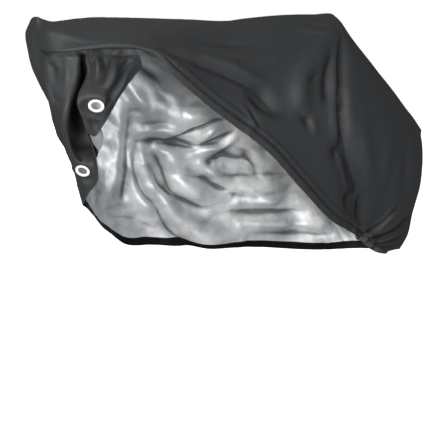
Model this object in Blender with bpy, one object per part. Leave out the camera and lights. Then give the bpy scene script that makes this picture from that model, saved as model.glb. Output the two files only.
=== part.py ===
"""Fitted cover for a bicycle, as it hangs with its near front corner hooked up.

Metres, +Z up.  -X is the front of the bicycle and -Y its near side.  The origin lies under
the ridge, between handlebar and saddle, where the bicycle carries the cover.
"""
import math
from collections import namedtuple

import bmesh
import bpy
import numpy as np
from mathutils import Matrix, Vector

NearSection = namedtuple("NearSection", "ridge shoulder belly crease tuck")
FarSection = namedtuple("FarSection", "ridge brow shoulder belly edge")
CornerSection = namedtuple("CornerSection", "hangs_at top upper middle lower edge")
Fold = namedtuple("Fold", "start end start_depth end_depth width")
Eyelet = namedtuple("Eyelet", "name centre outward")

# ---- driving sizes ---------------------------------------------------------------------
cloth = 0.002              # thickness of the coated cloth
seam_gap = 0.0008          # between the two sides along the centre seam
hem_width = 0.034          # turned hem, from its upper crease to the edge
fold_radius = 0.007        # bend where the cloth doubles back under the front band
layer_gap = 0.0015         # between the band's return and the corner that hangs from it
below_fold = 0.0135        # how far the corner hangs straight down before it comes out
pleat_drop = 0.012         # how much lower its free part starts
pleat_inset = 0.014        # how far the pleat draws the corner in behind the band
pleat_fade = 0.030         # over what drop it comes back out to the seam
flange_outside = 0.050     # eyelet, front flange
flange_inside = 0.046      # eyelet, back flange
eyelet_hole = 0.029
eyelet_neck = 0.033        # waist between the flanges, which passes through the cloth
flange_thick = 0.0022
flange_bevel = 0.0014
seat_gap = 0.0004          # between an eyelet and the cloth it clamps
flat_reach = 0.046         # cloth lies flat this far from an eyelet's centre
blend_reach = 0.080        # and hangs freely from here on

# ---- centre seam, from the top down -------------------------------------------------------
front_seam = [
    # x       y    z
    (-0.782, 0.0, 0.018),
    (-0.785, 0.0, -0.013),
    (-0.786, 0.0, -0.072),
    (-0.781, 0.0, -0.133),
    (-0.771, 0.0, -0.181),
    (-0.749, 0.0, -0.255),
    (-0.726, 0.0, -0.330),
    (-0.699, 0.0, -0.420),
    (-0.677, 0.0, -0.520),
    (-0.662, 0.0, -0.570),
]
front_crease_knot = 2      # row of front_seam where the band folds under
rear_seam = [
    # x     y    z
    (0.908, 0.0, -0.472),
    (0.904, 0.0, -0.550),
    (0.898, 0.0, -0.710),
    (0.884, 0.0, -0.850),
    (0.864, 0.0, -0.935),
    (0.820, 0.0, -0.989),
]

# ---- sections, each one curve from the ridge down; every point is x y z --------------------
# near side: tuck is how far, in degrees, the last strip turns in past the crease
near_shares = (0.0, 0.24, 0.60, 1.0)
near_sections = [
    NearSection((-0.745, 0, 0.005), (-0.760, -0.026, -0.001),
                (-0.781, -0.064, -0.022), (-0.785, -0.080, -0.073), 172),
    NearSection((-0.705, 0, 0.004), (-0.724, -0.038, -0.003),
                (-0.750, -0.090, -0.022), (-0.759, -0.124, -0.071), 172),
    NearSection((-0.650, 0, 0.011), (-0.666, -0.046, 0.000),
                (-0.689, -0.112, -0.026), (-0.706, -0.155, -0.063), 172),
    NearSection((-0.577, 0, 0.014), (-0.584, -0.050, 0.002),
                (-0.594, -0.130, -0.024), (-0.602, -0.197, -0.061), 172),
    NearSection((-0.490, 0, 0.012), (-0.507, -0.054, 0.000),
                (-0.532, -0.140, -0.026), (-0.550, -0.210, -0.064), 165),
    NearSection((-0.415, 0, 0.010), (-0.436, -0.058, -0.004),
                (-0.470, -0.146, -0.034), (-0.498, -0.218, -0.077), 105),
    NearSection((-0.340, 0, 0.007), (-0.362, -0.064, -0.010),
                (-0.402, -0.156, -0.056), (-0.434, -0.225, -0.130), 25),
    NearSection((-0.230, 0, 0.002), (-0.244, -0.080, -0.030),
                (-0.264, -0.168, -0.115), (-0.287, -0.234, -0.246), 0),
    NearSection((-0.128, 0, -0.005), (-0.136, -0.088, -0.050),
                (-0.150, -0.186, -0.174), (-0.161, -0.239, -0.335), 0),
    NearSection((-0.020, 0, 0.004), (-0.028, -0.093, -0.058),
                (-0.044, -0.184, -0.220), (-0.062, -0.240, -0.412), 0),
    NearSection((0.130, 0, 0.013), (0.122, -0.092, -0.054),
                (0.100, -0.187, -0.278), (0.076, -0.224, -0.538), 0),
    NearSection((0.285, 0, 0.014), (0.280, -0.088, -0.050),
                (0.268, -0.188, -0.340), (0.290, -0.172, -0.716), 0),
    NearSection((0.380, 0, 0.009), (0.383, -0.084, -0.050),
                (0.386, -0.186, -0.410), (0.425, -0.122, -0.784), 0),
    NearSection((0.414, 0, -0.019), (0.418, -0.087, -0.084),
                (0.430, -0.184, -0.442), (0.470, -0.104, -0.812), 0),
    NearSection((0.529, 0, -0.130), (0.528, -0.092, -0.194),
                (0.545, -0.170, -0.514), (0.562, -0.067, -0.868), 0),
    NearSection((0.645, 0, -0.235), (0.645, -0.093, -0.304),
                (0.670, -0.148, -0.592), (0.640, -0.052, -0.928), 0),
    NearSection((0.770, 0, -0.342), (0.768, -0.083, -0.417),
                (0.788, -0.110, -0.647), (0.715, -0.040, -0.945), 0),
    NearSection((0.850, 0, -0.410), (0.846, -0.056, -0.487),
                (0.852, -0.062, -0.692), (0.785, -0.020, -0.956), 0),
]
far_shares = (0.0, 0.09, 0.25, 0.60, 1.0)
far_sections = [
    FarSection((-0.778, 0, 0.017), (-0.781, 0.034, 0.002), (-0.786, 0.038, -0.110),
               (-0.716, 0.045, -0.340), (-0.640, 0.060, -0.592)),
    FarSection((-0.766, 0, 0.012), (-0.778, 0.082, -0.010), (-0.779, 0.088, -0.102),
               (-0.700, 0.085, -0.335), (-0.616, 0.090, -0.614)),
    FarSection((-0.735, 0, 0.004), (-0.766, 0.116, -0.026), (-0.758, 0.140, -0.102),
               (-0.690, 0.140, -0.352), (-0.570, 0.135, -0.655)),
    FarSection((-0.690, 0, 0.005), (-0.702, 0.108, -0.008), (-0.700, 0.208, -0.090),
               (-0.640, 0.202, -0.375), (-0.520, 0.185, -0.705)),
    FarSection((-0.645, 0, 0.011), (-0.648, 0.116, -0.010), (-0.640, 0.252, -0.085),
               (-0.580, 0.262, -0.392), (-0.455, 0.240, -0.765)),
    FarSection((-0.560, 0, 0.014), (-0.560, 0.120, -0.010), (-0.550, 0.286, -0.090),
               (-0.490, 0.310, -0.420), (-0.370, 0.290, -0.834)),
    FarSection((-0.437, 0, 0.010), (-0.438, 0.115, -0.012), (-0.430, 0.276, -0.105),
               (-0.370, 0.325, -0.440), (-0.253, 0.305, -0.862)),
    FarSection((-0.250, 0, 0.003), (-0.252, 0.095, -0.018), (-0.245, 0.225, -0.120),
               (-0.200, 0.305, -0.470), (-0.114, 0.310, -0.892)),
    FarSection((-0.100, 0, -0.003), (-0.098, 0.080, -0.028), (-0.080, 0.180, -0.130),
               (-0.030, 0.285, -0.490), (0.074, 0.300, -0.924)),
    FarSection((0.080, 0, 0.011), (0.085, 0.070, -0.020), (0.100, 0.146, -0.130),
               (0.150, 0.255, -0.500), (0.267, 0.280, -0.955)),
    FarSection((0.285, 0, 0.014), (0.272, 0.070, -0.016), (0.285, 0.125, -0.130),
               (0.330, 0.225, -0.510), (0.420, 0.250, -0.982)),
    FarSection((0.380, 0, 0.009), (0.388, 0.070, -0.024), (0.398, 0.122, -0.150),
               (0.440, 0.205, -0.530), (0.510, 0.230, -0.994)),
    FarSection((0.414, 0, -0.019), (0.424, 0.074, -0.060), (0.440, 0.124, -0.185),
               (0.485, 0.200, -0.550), (0.550, 0.215, -0.998)),
    FarSection((0.529, 0, -0.130), (0.534, 0.080, -0.175), (0.550, 0.126, -0.290),
               (0.580, 0.185, -0.600), (0.610, 0.190, -1.000)),
    FarSection((0.645, 0, -0.235), (0.650, 0.080, -0.282), (0.665, 0.120, -0.385),
               (0.685, 0.165, -0.640), (0.665, 0.155, -0.998)),
    FarSection((0.770, 0, -0.342), (0.772, 0.068, -0.390), (0.782, 0.100, -0.470),
               (0.792, 0.120, -0.680), (0.715, 0.105, -0.994)),
    FarSection((0.850, 0, -0.410), (0.852, 0.045, -0.450), (0.856, 0.066, -0.530),
               (0.856, 0.072, -0.710), (0.765, 0.050, -0.990)),
]
# hooked-up corner: hangs_at is the x where a section leaves the band's return
corner_shares = (0.0, 0.25, 0.50, 0.75, 1.0)
corner_sections = [
    CornerSection(-0.770, (-0.779, -0.066, -0.098), (-0.785, -0.068, -0.180),
                  (-0.757, -0.064, -0.290), (-0.708, -0.030, -0.415), (-0.664, -0.022, -0.552)),
    CornerSection(-0.735, (-0.720, -0.132, -0.096), (-0.731, -0.137, -0.180),
                  (-0.757, -0.113, -0.280), (-0.724, -0.080, -0.395), (-0.664, -0.052, -0.526)),
    CornerSection(-0.712, (-0.690, -0.112, -0.098), (-0.680, -0.084, -0.180),
                  (-0.696, -0.074, -0.280), (-0.682, -0.084, -0.380), (-0.658, -0.100, -0.480)),
    CornerSection(-0.695, (-0.697, -0.146, -0.096), (-0.700, -0.158, -0.155),
                  (-0.722, -0.180, -0.228), (-0.712, -0.164, -0.295), (-0.690, -0.156, -0.375)),
    CornerSection(-0.684, (-0.702, -0.172, -0.096), (-0.716, -0.190, -0.140),
                  (-0.768, -0.232, -0.204), (-0.752, -0.222, -0.252), (-0.728, -0.198, -0.308)),
    CornerSection(-0.660, (-0.682, -0.183, -0.094), (-0.694, -0.208, -0.132),
                  (-0.723, -0.256, -0.193), (-0.709, -0.226, -0.258), (-0.705, -0.200, -0.320)),
    CornerSection(-0.626, (-0.646, -0.193, -0.092), (-0.656, -0.212, -0.122),
                  (-0.672, -0.232, -0.170), (-0.683, -0.235, -0.226), (-0.682, -0.220, -0.282)),
    CornerSection(-0.592, (-0.600, -0.199, -0.090), (-0.606, -0.210, -0.108),
                  (-0.614, -0.220, -0.138), (-0.622, -0.227, -0.168), (-0.628, -0.230, -0.198)),
    CornerSection(-0.560, (-0.556, -0.205, -0.090), (-0.553, -0.208, -0.098),
                  (-0.551, -0.209, -0.104), (-0.549, -0.210, -0.114), (-0.548, -0.210, -0.125)),
]

# ---- main folds: lines in side view that push the cloth out (+) or in (-) --------------------
near_folds = [
    Fold((0.338, -0.042), (0.284, -0.285), -0.004, -0.010, 0.026),
    Fold((0.284, -0.285), (0.262, -0.462), -0.010, -0.016, 0.030),
    Fold((0.262, -0.462), (0.370, -0.671), -0.016, -0.024, 0.034),
    Fold((0.370, -0.671), (0.440, -0.780), -0.024, -0.010, 0.030),
    Fold((0.300, -0.060), (0.090, -0.250), 0.008, 0.010, 0.060),
    Fold((-0.320, -0.134), (-0.095, -0.249), -0.008, -0.012, 0.040),
    Fold((-0.095, -0.249), (0.093, -0.338), -0.012, -0.006, 0.036),
    Fold((0.565, -0.840), (0.664, -0.767), -0.010, -0.004, 0.024),
    Fold((0.620, -0.880), (0.800, -0.836), -0.010, -0.006, 0.026),
]
far_folds = [
    Fold((-0.240, -0.410), (-0.180, -0.630), 0.014, 0.018, 0.040),
    Fold((-0.180, -0.630), (-0.020, -0.790), 0.018, 0.006, 0.040),
    Fold((-0.330, -0.470), (-0.270, -0.710), -0.012, -0.018, 0.045),
    Fold((-0.120, -0.460), (0.250, -0.530), 0.020, 0.012, 0.045),
    Fold((-0.190, -0.320), (0.040, -0.430), -0.018, -0.010, 0.045),
    Fold((-0.080, -0.850), (0.240, -0.870), -0.014, -0.014, 0.040),
    Fold((0.300, -0.240), (0.420, -0.890), 0.016, 0.020, 0.050),
]

# ---- eyelets, each with the direction its front faces -----------------------------------------
eyelets = [
    Eyelet("eyelet_flap", (-0.718, -0.245, -0.225), (-0.46, -0.72, -0.53)),
    Eyelet("eyelet_nose", (-0.690, -0.068, -0.448), (-0.60, -0.62, -0.50)),
]

# ---- finishes ----------------------------------------------------------------------------------
charcoal = (0.060, 0.062, 0.066)
white = (0.86, 0.86, 0.85)
cloth_roughness = 0.6
plastic_roughness = 0.3

# ---- mesh fineness -----------------------------------------------------------------------------
side_spacing = 0.047
corner_spacing = 0.024
near_rows = 15
hem_rows = 4
hem_steps = 8              # small steps that each row of a hem is bent in
far_rows = 19
corner_rows = 17
row_crowding = 1.2         # over 1 crowds a side's rows towards the ridge
quiet_columns = 3          # columns and rows at an edge over which the folds die out
ring_sides = 24


def unit(vectors):
    return vectors / np.maximum(np.linalg.norm(vectors, axis=-1, keepdims=True), 1e-12)


def through(knots, values, wanted):
    """Smooth curve through values at the knots, read at each wanted place."""
    knots = np.asarray(knots, float)
    values = np.asarray(values, float)
    steps = np.diff(knots)
    slopes = np.diff(values, axis=0) / steps.reshape(-1, *[1] * (values.ndim - 1))
    tangents = np.empty_like(values)
    tangents[0], tangents[-1] = slopes[0], slopes[-1]
    for k in range(1, len(knots) - 1):
        weight = steps[k] / (steps[k - 1] + steps[k])
        tangents[k] = weight * slopes[k - 1] + (1 - weight) * slopes[k]
    read = []
    for place in np.atleast_1d(wanted):
        k = int(np.clip(np.searchsorted(knots, place) - 1, 0, len(steps) - 1))
        u = (place - knots[k]) / steps[k]
        read.append((2 * u**3 - 3 * u**2 + 1) * values[k]
                    + (u**3 - 2 * u**2 + u) * steps[k] * tangents[k]
                    + (3 * u**2 - 2 * u**3) * values[k + 1]
                    + (u**3 - u**2) * steps[k] * tangents[k + 1])
    return np.array(read)


def run_along(points):
    """Distance from the first point to each point of a polyline."""
    return np.concatenate([[0], np.cumsum(np.linalg.norm(np.diff(points, axis=0), axis=1))])


def seam_curve(seam, shares):
    run = run_along(np.array(seam))
    return through(run / run[-1], seam, shares)


def grid_normals(grid, side):
    """Outward normals of a grid of points [column, row]; side is -1 near and +1 far."""
    across = np.gradient(grid, axis=0)
    down = np.gradient(grid, axis=1)
    return side * unit(np.cross(across, down))


def square_to_seam(normals, edge):
    """Turn the normals of a seam edge square to Y, so that both sides end face to face."""
    normals[edge][..., 1] = 0
    normals[edge] = unit(normals[edge])


def loft(curves, spacing):
    """Grid through curves [section, row], with a column on every section and evenly between."""
    middle = curves.shape[1] // 2
    run = 0.5 * (run_along(curves[:, middle]) + run_along(curves[:, 0]))
    places = [0.0]
    for start, end in zip(run, run[1:]):
        count = max(1, round((end - start) / spacing))
        places += list(start + (end - start) * np.arange(1, count + 1) / count)
    return through(run, curves, places), run, np.array(places)


def add_folds(grid, folds, side):
    """Push the cloth out or in along its folds, dying out towards the seams."""
    flat = grid[..., [0, 2]]
    push = np.zeros(grid.shape[:2])
    for fold in folds:
        along = np.array(fold.end) - fold.start
        share = np.clip(((flat - fold.start) @ along) / (along @ along), 0, 1)
        gap = np.linalg.norm(flat - (fold.start + share[..., None] * along), axis=-1)
        depth = fold.start_depth + (fold.end_depth - fold.start_depth) * share
        push += depth * np.exp(-((gap / fold.width) ** 2))
    columns, rows = np.indices(push.shape)
    columns = np.minimum(columns, push.shape[0] - 1 - columns)
    push *= np.clip(columns / quiet_columns, 0, 1) * np.clip(rows / quiet_columns, 0, 1)
    return grid + push[..., None] * grid_normals(grid, side)


def add_hem(grid, tucks, side):
    """Carry each column on past its crease: straight down as a hem, or doubled back inside."""
    normals = grid_normals(grid, side)
    for edge in (0, -1):
        square_to_seam(normals, np.s_[edge, :])
    crease = unit(np.gradient(grid[:, -1], axis=0))
    heading = grid[:, -1] - grid[:, -2]
    heading = unit(heading - (heading * crease).sum(1, keepdims=True) * crease)
    inward = -normals[:, -1]
    inward = unit(inward - (inward * heading).sum(1, keepdims=True) * heading)
    step = hem_width / hem_rows / hem_steps
    rows = [grid[:, -1]]
    for row in range(hem_rows):
        point = rows[-1].copy()
        for part in range(hem_steps):
            gone = (row * hem_steps + part + 0.5) * step
            turn = np.radians(tucks) * min(gone / (math.pi * fold_radius), 1.0)
            point += step * (np.cos(turn)[:, None] * heading + np.sin(turn)[:, None] * inward)
        rows.append(point)
    return np.concatenate([grid, np.stack(rows[1:], axis=1)], axis=1)


def near_panel():
    """Outer grid of the near side, from the ridge to the crease and over its hem."""
    front_run = run_along(np.array(front_seam))
    rear_run = run_along(np.array(rear_seam))
    shares = np.linspace(0, 1, near_rows) ** row_crowding
    crease_share = 1 - hem_width / rear_run[-1]
    front = seam_curve(front_seam, shares * front_run[front_crease_knot] / front_run[-1])
    rear = seam_curve(rear_seam, shares * crease_share)
    between = [through(near_shares, row[:4], shares) for row in near_sections]
    grid, run, places = loft(np.array([front, *between, rear]), side_spacing)
    tucks = [near_sections[0].tuck] + [row.tuck for row in near_sections] + [0]
    grid = add_folds(grid, near_folds, -1)
    grid = add_hem(grid, np.interp(places, run, tucks), -1)
    grid[-1, near_rows:] = seam_curve(rear_seam, np.linspace(crease_share, 1, hem_rows + 1)[1:])
    normals = grid_normals(grid, -1)
    for edge in (np.s_[0, :], np.s_[-1, :], np.s_[:, 0]):
        square_to_seam(normals, edge)
    shift = np.zeros(grid.shape)
    for edge in (np.s_[0, :], np.s_[-1, :], np.s_[:, 0]):
        shift[edge] = (0, -seam_gap / 2, 0)
    return grid + shift, normals


def far_panel():
    """Outer grid of the far side, from the ridge to its hem."""
    shares = np.linspace(0, 1, far_rows) ** row_crowding
    between = [through(far_shares, row, shares) for row in far_sections]
    curves = [seam_curve(front_seam, shares), *between, seam_curve(rear_seam, shares)]
    grid, _, _ = loft(np.array(curves), side_spacing)
    grid = add_folds(grid, far_folds, 1)
    normals = grid_normals(grid, 1)
    shift = np.zeros(grid.shape)
    for edge in (np.s_[0, :], np.s_[-1, :], np.s_[:, 0]):
        square_to_seam(normals, edge)
        shift[edge] = (0, seam_gap / 2, 0)
    return grid + shift, normals


def front_corner(band, band_normals):
    """Outer grid of the corner: tucked up behind the band, then nose, pleat and flap."""
    shares = np.linspace(0, 1, corner_rows)
    front_run = run_along(np.array(front_seam))
    start = front_run[front_crease_knot] + below_fold + pleat_drop
    drop = start + (front_run[-1] - start) * shares
    seam = seam_curve(front_seam, drop / front_run[-1])
    drop -= front_run[front_crease_knot]
    seam[:, 0] += pleat_inset * np.exp(-drop / pleat_fade)
    between = [through(corner_shares, row[1:], shares) for row in corner_sections]
    grid, run, places = loft(np.array([seam, *between]), corner_spacing)
    # hang each column from the straight end of the band's return, just inside it
    starts = [band[0, -1, 0]] + [row.hangs_at for row in corner_sections]
    counted = np.arange(len(band))
    columns = np.interp(np.interp(places, run, starts), band[:, -1, 0], counted)
    hung = []
    for row in (-1, -2):
        inside = band[:, row] + layer_gap * band_normals[:, row]
        hung.append(np.stack([np.interp(columns, counted, axis) for axis in inside.T], axis=1))
    hung.append(hung[1] + below_fold * unit(hung[1] - hung[0]))
    grid = np.concatenate([np.stack(hung, axis=1), grid], axis=1)
    grid[1:] = flatten_at_eyelets(grid[1:])
    grid[0, :, 1] = -seam_gap / 2
    normals = grid_normals(grid, -1)
    square_to_seam(normals, np.s_[0, :])
    return grid, normals


def flatten_at_eyelets(grid):
    """Lay the cloth flat where an eyelet clamps it."""
    for eyelet in eyelets:
        axis = unit(np.array(eyelet.outward))
        offset = grid - np.array(eyelet.centre)
        height = offset @ axis
        radius = np.linalg.norm(offset - height[..., None] * axis, axis=-1)
        share = np.clip((blend_reach - radius) / (blend_reach - flat_reach), 0, 1)
        share = share * share * (3 - 2 * share) * (np.abs(height) < flat_reach)
        grid = grid - (share * height)[..., None] * axis
    return grid


def sheet_mesh(name, grid, normals):
    """Closed sheet: the grid is its outer face, and its inner face lies one cloth behind."""
    columns, rows = grid.shape[:2]
    half = columns * rows
    verts = np.concatenate([grid.reshape(-1, 3), (grid - cloth * normals).reshape(-1, 3)])

    def at(column, row, layer):
        return layer * half + column * rows + row

    faces = []
    for i in range(columns - 1):
        for j in range(rows - 1):
            for layer in (0, 1):
                faces.append([at(i, j, layer), at(i, j + 1, layer),
                              at(i + 1, j + 1, layer), at(i + 1, j, layer)])
    rim = [(i, 0) for i in range(columns)]
    rim += [(columns - 1, j) for j in range(1, rows)]
    rim += [(i, rows - 1) for i in range(columns - 2, -1, -1)]
    rim += [(0, j) for j in range(rows - 2, 0, -1)]
    for (i, j), (k, m) in zip(rim, rim[1:] + rim[:1]):
        faces.append([at(i, j, 0), at(k, m, 0), at(k, m, 1), at(i, j, 1)])
    bm = bmesh.new()
    points = [bm.verts.new(v) for v in verts]
    for face in faces:
        bm.faces.new([points[k] for k in face])
    bmesh.ops.recalc_face_normals(bm, faces=bm.faces)
    bmesh.ops.triangulate(bm, faces=bm.faces)
    return mesh_from(bm, name)


def eyelet_mesh(name, place):
    """Turned ring: two flanges that clamp the cloth, and the waist that passes through it."""
    waist = cloth / 2 + seat_gap
    profile = [
        # radius, height from the cloth's middle
        (eyelet_hole / 2, -waist - flange_thick * 0.6),
        (eyelet_hole / 2, waist + flange_thick * 0.6),
        (eyelet_hole / 2 + flange_bevel, waist + flange_thick),
        (flange_outside / 2 - flange_bevel, waist + flange_thick),
        (flange_outside / 2, waist + flange_thick * 0.4),
        (flange_outside / 2, waist),
        (eyelet_neck / 2, waist),
        (eyelet_neck / 2, -waist),
        (flange_inside / 2, -waist),
        (flange_inside / 2 - flange_bevel, -waist - flange_thick),
        (eyelet_hole / 2 + flange_bevel, -waist - flange_thick),
    ]
    bm = bmesh.new()
    points = [bm.verts.new((radius, 0, height)) for radius, height in profile]
    edges = [bm.edges.new(pair) for pair in zip(points, points[1:] + points[:1])]
    bmesh.ops.spin(bm, geom=points + edges, axis=(0, 0, 1), angle=2 * math.pi,
                   steps=ring_sides, use_merge=True)
    bmesh.ops.recalc_face_normals(bm, faces=bm.faces)
    bmesh.ops.triangulate(bm, faces=bm.faces)
    bmesh.ops.transform(bm, matrix=place, verts=bm.verts)
    return mesh_from(bm, name)


def punch_mesh(name, place):
    """Round cutter for the hole that the eyelet's waist passes through."""
    radius = eyelet_neck / 2 + seat_gap
    bm = bmesh.new()
    bmesh.ops.create_cone(bm, cap_ends=True, segments=ring_sides, depth=flat_reach,
                          radius1=radius, radius2=radius)
    bmesh.ops.transform(bm, matrix=place, verts=bm.verts)
    return mesh_from(bm, name)


def mesh_from(bm, name):
    mesh = bpy.data.meshes.new(name)
    bm.to_mesh(mesh)
    bm.free()
    mesh.shade_smooth()
    return mesh


def add_object(mesh, material=None):
    thing = bpy.data.objects.new(mesh.name, mesh)
    bpy.context.collection.objects.link(thing)
    if material:
        mesh.materials.append(material)
    return thing


def finish(name, colour, roughness):
    material = bpy.data.materials.new(name)
    material.use_nodes = True
    shader = material.node_tree.nodes["Principled BSDF"]
    shader.inputs["Base Color"].default_value = (*colour, 1.0)
    shader.inputs["Roughness"].default_value = roughness
    shader.inputs["Metallic"].default_value = 0.0
    return material


def fit_eyelet(cloth_object, eyelet, material):
    """Seat an eyelet in the cloth, with its middle on the cloth's middle."""
    axis = Vector(eyelet.outward).normalized()
    middle = Vector(eyelet.centre) - axis * (cloth / 2)
    place = Matrix.Translation(middle) @ axis.to_track_quat("Z", "Y").to_matrix().to_4x4()
    add_object(eyelet_mesh(eyelet.name, place), material)
    cutter = add_object(punch_mesh(eyelet.name + "_punch", place))
    cutter.hide_render = True
    cutter.display_type = "WIRE"
    hole = cloth_object.modifiers.new("Hole for " + eyelet.name, "BOOLEAN")
    hole.object = cutter


def main():
    for thing in list(bpy.data.objects):
        bpy.data.objects.remove(thing)
    near, near_normals = near_panel()
    far, far_normals = far_panel()
    corner, corner_normals = front_corner(near, near_normals)
    add_object(sheet_mesh("near_side_panel", near, near_normals),
               finish("near_cloth", charcoal, cloth_roughness))
    add_object(sheet_mesh("far_side_panel", far, far_normals),
               finish("far_cloth", charcoal, cloth_roughness))
    flap = add_object(sheet_mesh("near_front_corner", corner, corner_normals),
                      finish("corner_cloth", charcoal, cloth_roughness))
    for eyelet in eyelets:
        fit_eyelet(flap, eyelet, finish(eyelet.name + "_plastic", white, plastic_roughness))


main()
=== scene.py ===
# A fitted cloth cover, hanging as it does over a bicycle, its near front corner hooked up.
# Metres, +Z up, -X is the front and -Y the near side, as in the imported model.  The tables of
# seams, sections, folds, creases and profiles are in millimetres.
import math

import bmesh
import bpy
import numpy as np
from mathutils import Matrix, Vector


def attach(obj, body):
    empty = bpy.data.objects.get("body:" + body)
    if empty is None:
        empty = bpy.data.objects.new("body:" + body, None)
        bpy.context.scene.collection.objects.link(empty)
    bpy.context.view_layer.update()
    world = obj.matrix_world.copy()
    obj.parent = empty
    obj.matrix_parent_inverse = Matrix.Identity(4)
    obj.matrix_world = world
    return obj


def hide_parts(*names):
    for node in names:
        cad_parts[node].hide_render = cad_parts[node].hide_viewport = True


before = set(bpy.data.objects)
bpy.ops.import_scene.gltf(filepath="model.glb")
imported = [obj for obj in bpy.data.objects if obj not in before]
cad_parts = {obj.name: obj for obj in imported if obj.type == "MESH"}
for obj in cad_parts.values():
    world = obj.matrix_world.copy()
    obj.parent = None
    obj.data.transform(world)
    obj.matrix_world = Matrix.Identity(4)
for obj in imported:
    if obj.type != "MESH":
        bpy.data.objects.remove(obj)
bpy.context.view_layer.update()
print("frame loaded:", sorted(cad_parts))


def metres(table):
    return np.array(table, float) / 1000


# sizes that more than one piece of cloth shares
cloth = {
    "thickness": 0.0012,     # coated cloth, drawn thicker than its 0.3 mm so that light stays out
    "seamGap": 0.0001,       # between the two sides along the centre seam
    "seamLean": 0.35,        # how fast each side parts from the other there
    "seamDip": 0.0016,       # how far the edges turn in at the centre seam
    "seamDipReach": 0.0035,
    "seamHold": 0.030,       # this near a seam the stitches still hold the folds down
    "puckerStart": 0.005,    # this near a seam the puckers fade
    "hemWidth": 0.034,       # turned hem, from its stitched crease to the edge
    "hemLayers": 0.0014,     # how much the turned-in layers thicken a hem
    "hemStep": 0.0015,       # width over which they set in
    "foldRadius": 0.007,     # bend where the cloth doubles back under the front band
    "layerGap": 0.0015,      # between the band's return and the corner
    "crowding": 1.2,         # over 1 crowds a side's rows towards the ridge and the crease
    "middle": 0.435,         # share down a side at which its length is measured
    "fineColumns": (0.0012, 0.0024, 0.0038),     # extra columns this near an end seam
    "sharpFrom": 70,         # degrees between two faces that make a sharp edge
    "foldPasses": 6,         # evening out that tells a fold from its surroundings
}

# centre seam, x z from the top down; the cover's middle lies on y = 0
frontSeam = metres([
    (-782, 18), (-785, -13), (-786, -72), (-781, -133), (-771, -181),
    (-749, -255), (-726, -330), (-699, -420), (-677, -520), (-662, -570),
])
bandKnot = 2     # point of frontSeam where the band folds under
rearSeam = metres([(908, -472), (904, -550), (898, -710), (884, -850), (864, -935), (820, -989)])
tiny = 1e-12     # keeps a division away from zero


# Cloth is a grid of points [column, row].  A side's columns run from nose to tail and its rows
# from the ridge down.  side is -1 on the near side and 1 on the far one.

def unit(vectors):
    return vectors / np.maximum(np.linalg.norm(vectors, axis=-1, keepdims=True), tiny)


def ease(share):
    # soft start and stop between 0 and 1
    share = np.clip(share, 0, 1)
    return share * share * (3 - 2 * share)


def hill(distance, width):
    # 1 in the middle, falling off smoothly to both sides
    return np.exp(-((distance / width) ** 2))


def through(knots, values, wanted):
    # smooth curve through values at the knots, read at each wanted place
    knots, values, wanted = (np.asarray(part, float) for part in (knots, values, wanted))
    column = (-1,) + (1,) * (values.ndim - 1)
    steps = np.diff(knots).reshape(column)
    slopes = np.diff(values, axis=0) / steps
    weight = steps[1:] / (steps[:-1] + steps[1:])
    inner = weight * slopes[:-1] + (1 - weight) * slopes[1:]
    tangents = np.concatenate([slopes[:1], inner, slopes[-1:]])
    at = np.clip(np.searchsorted(knots, wanted) - 1, 0, len(knots) - 2)
    step = steps[at]
    u = (wanted - knots[at]).reshape(column) / step
    return ((2 * u**3 - 3 * u**2 + 1) * values[at] + (u**3 - 2 * u**2 + u) * step * tangents[at]
            + (3 * u**2 - 2 * u**3) * values[at + 1] + (u**3 - u**2) * step * tangents[at + 1])


def runAlong(points):
    # distance from the first point of a polyline to each of its points
    return np.concatenate([[0], np.cumsum(np.linalg.norm(np.diff(points, axis=0), axis=1))])


def seamCurve(seam, shares):
    points = np.insert(seam, 1, 0, axis=1)
    run = runAlong(points)
    return through(run / run[-1], points, shares)


def crowded(count):
    # shares from 0 to 1 that lie closer together at both ends
    shares = np.linspace(0, 1, count) ** cloth["crowding"]
    return 1 - (1 - shares) ** cloth["crowding"]


def loft(curves, middle, spacing, fineEnds):
    # grid through curves [section, row], its columns evenly spaced, closer at the fine ends
    curves = np.array(curves)
    run = 0.5 * (runAlong(curves[:, middle]) + runAlong(curves[:, 0]))
    places = np.linspace(0, run[-1], round(run[-1] / spacing) + 1)
    near = np.array(cloth["fineColumns"])
    extra = [near if end == "first" else run[-1] - near for end in fineEnds]
    places = np.unique(np.concatenate([places, *extra]))
    return through(run, curves, places), run, places


def loftSide(p, front, rear, shares):
    # a whole side, from its seam curve at the nose to the one at the tail
    between = [through(p["shares"], metres(row[:len(p["shares"])]), shares) for row in p["sections"]]
    middle = int(np.argmin(np.abs(shares - cloth["middle"])))
    return loft([front, *between, rear], middle, p["spacing"], ("first", "last"))


def gridNormals(grid, side):
    # outward normals
    return side * unit(np.cross(np.gradient(grid, axis=0), np.gradient(grid, axis=1)))


def travelled(grid, axis):
    steps = np.linalg.norm(np.diff(grid, axis=axis), axis=2)
    return np.insert(np.cumsum(steps, axis=axis), 0, 0, axis=axis)


def along(grid):
    # how far along its row each point lies from the first column
    return travelled(grid, 0)


def down(grid):
    # how far down its column each point lies
    return travelled(grid, 1)


def softened(field, passes=1, axes=(0, 1)):
    # each value evened out with its neighbours
    for _ in range(passes):
        for axis in axes:
            field = np.moveaxis(field, axis, 0)
            ahead = np.concatenate([field[1:], field[-1:]])
            behind = np.concatenate([field[:1], field[:-1]])
            field = np.moveaxis(0.5 * field + 0.25 * (ahead + behind), 0, axis)
    return field


def respaced(grid, places):
    # the same surface with its rows at these distances [column, row] down each column
    return np.stack([
        np.stack([np.interp(want, have, axis) for axis in column.T], axis=1)
        for want, have, column in zip(places, down(grid), grid)])


def besideLine(points, start, end):
    # share of a straight line at which it passes each point, and the offset from it there
    run = end - start
    share = np.clip(((points - start) @ run) / max(run @ run, tiny), 0, 1)
    return share, points - start - share[..., None] * run


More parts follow.
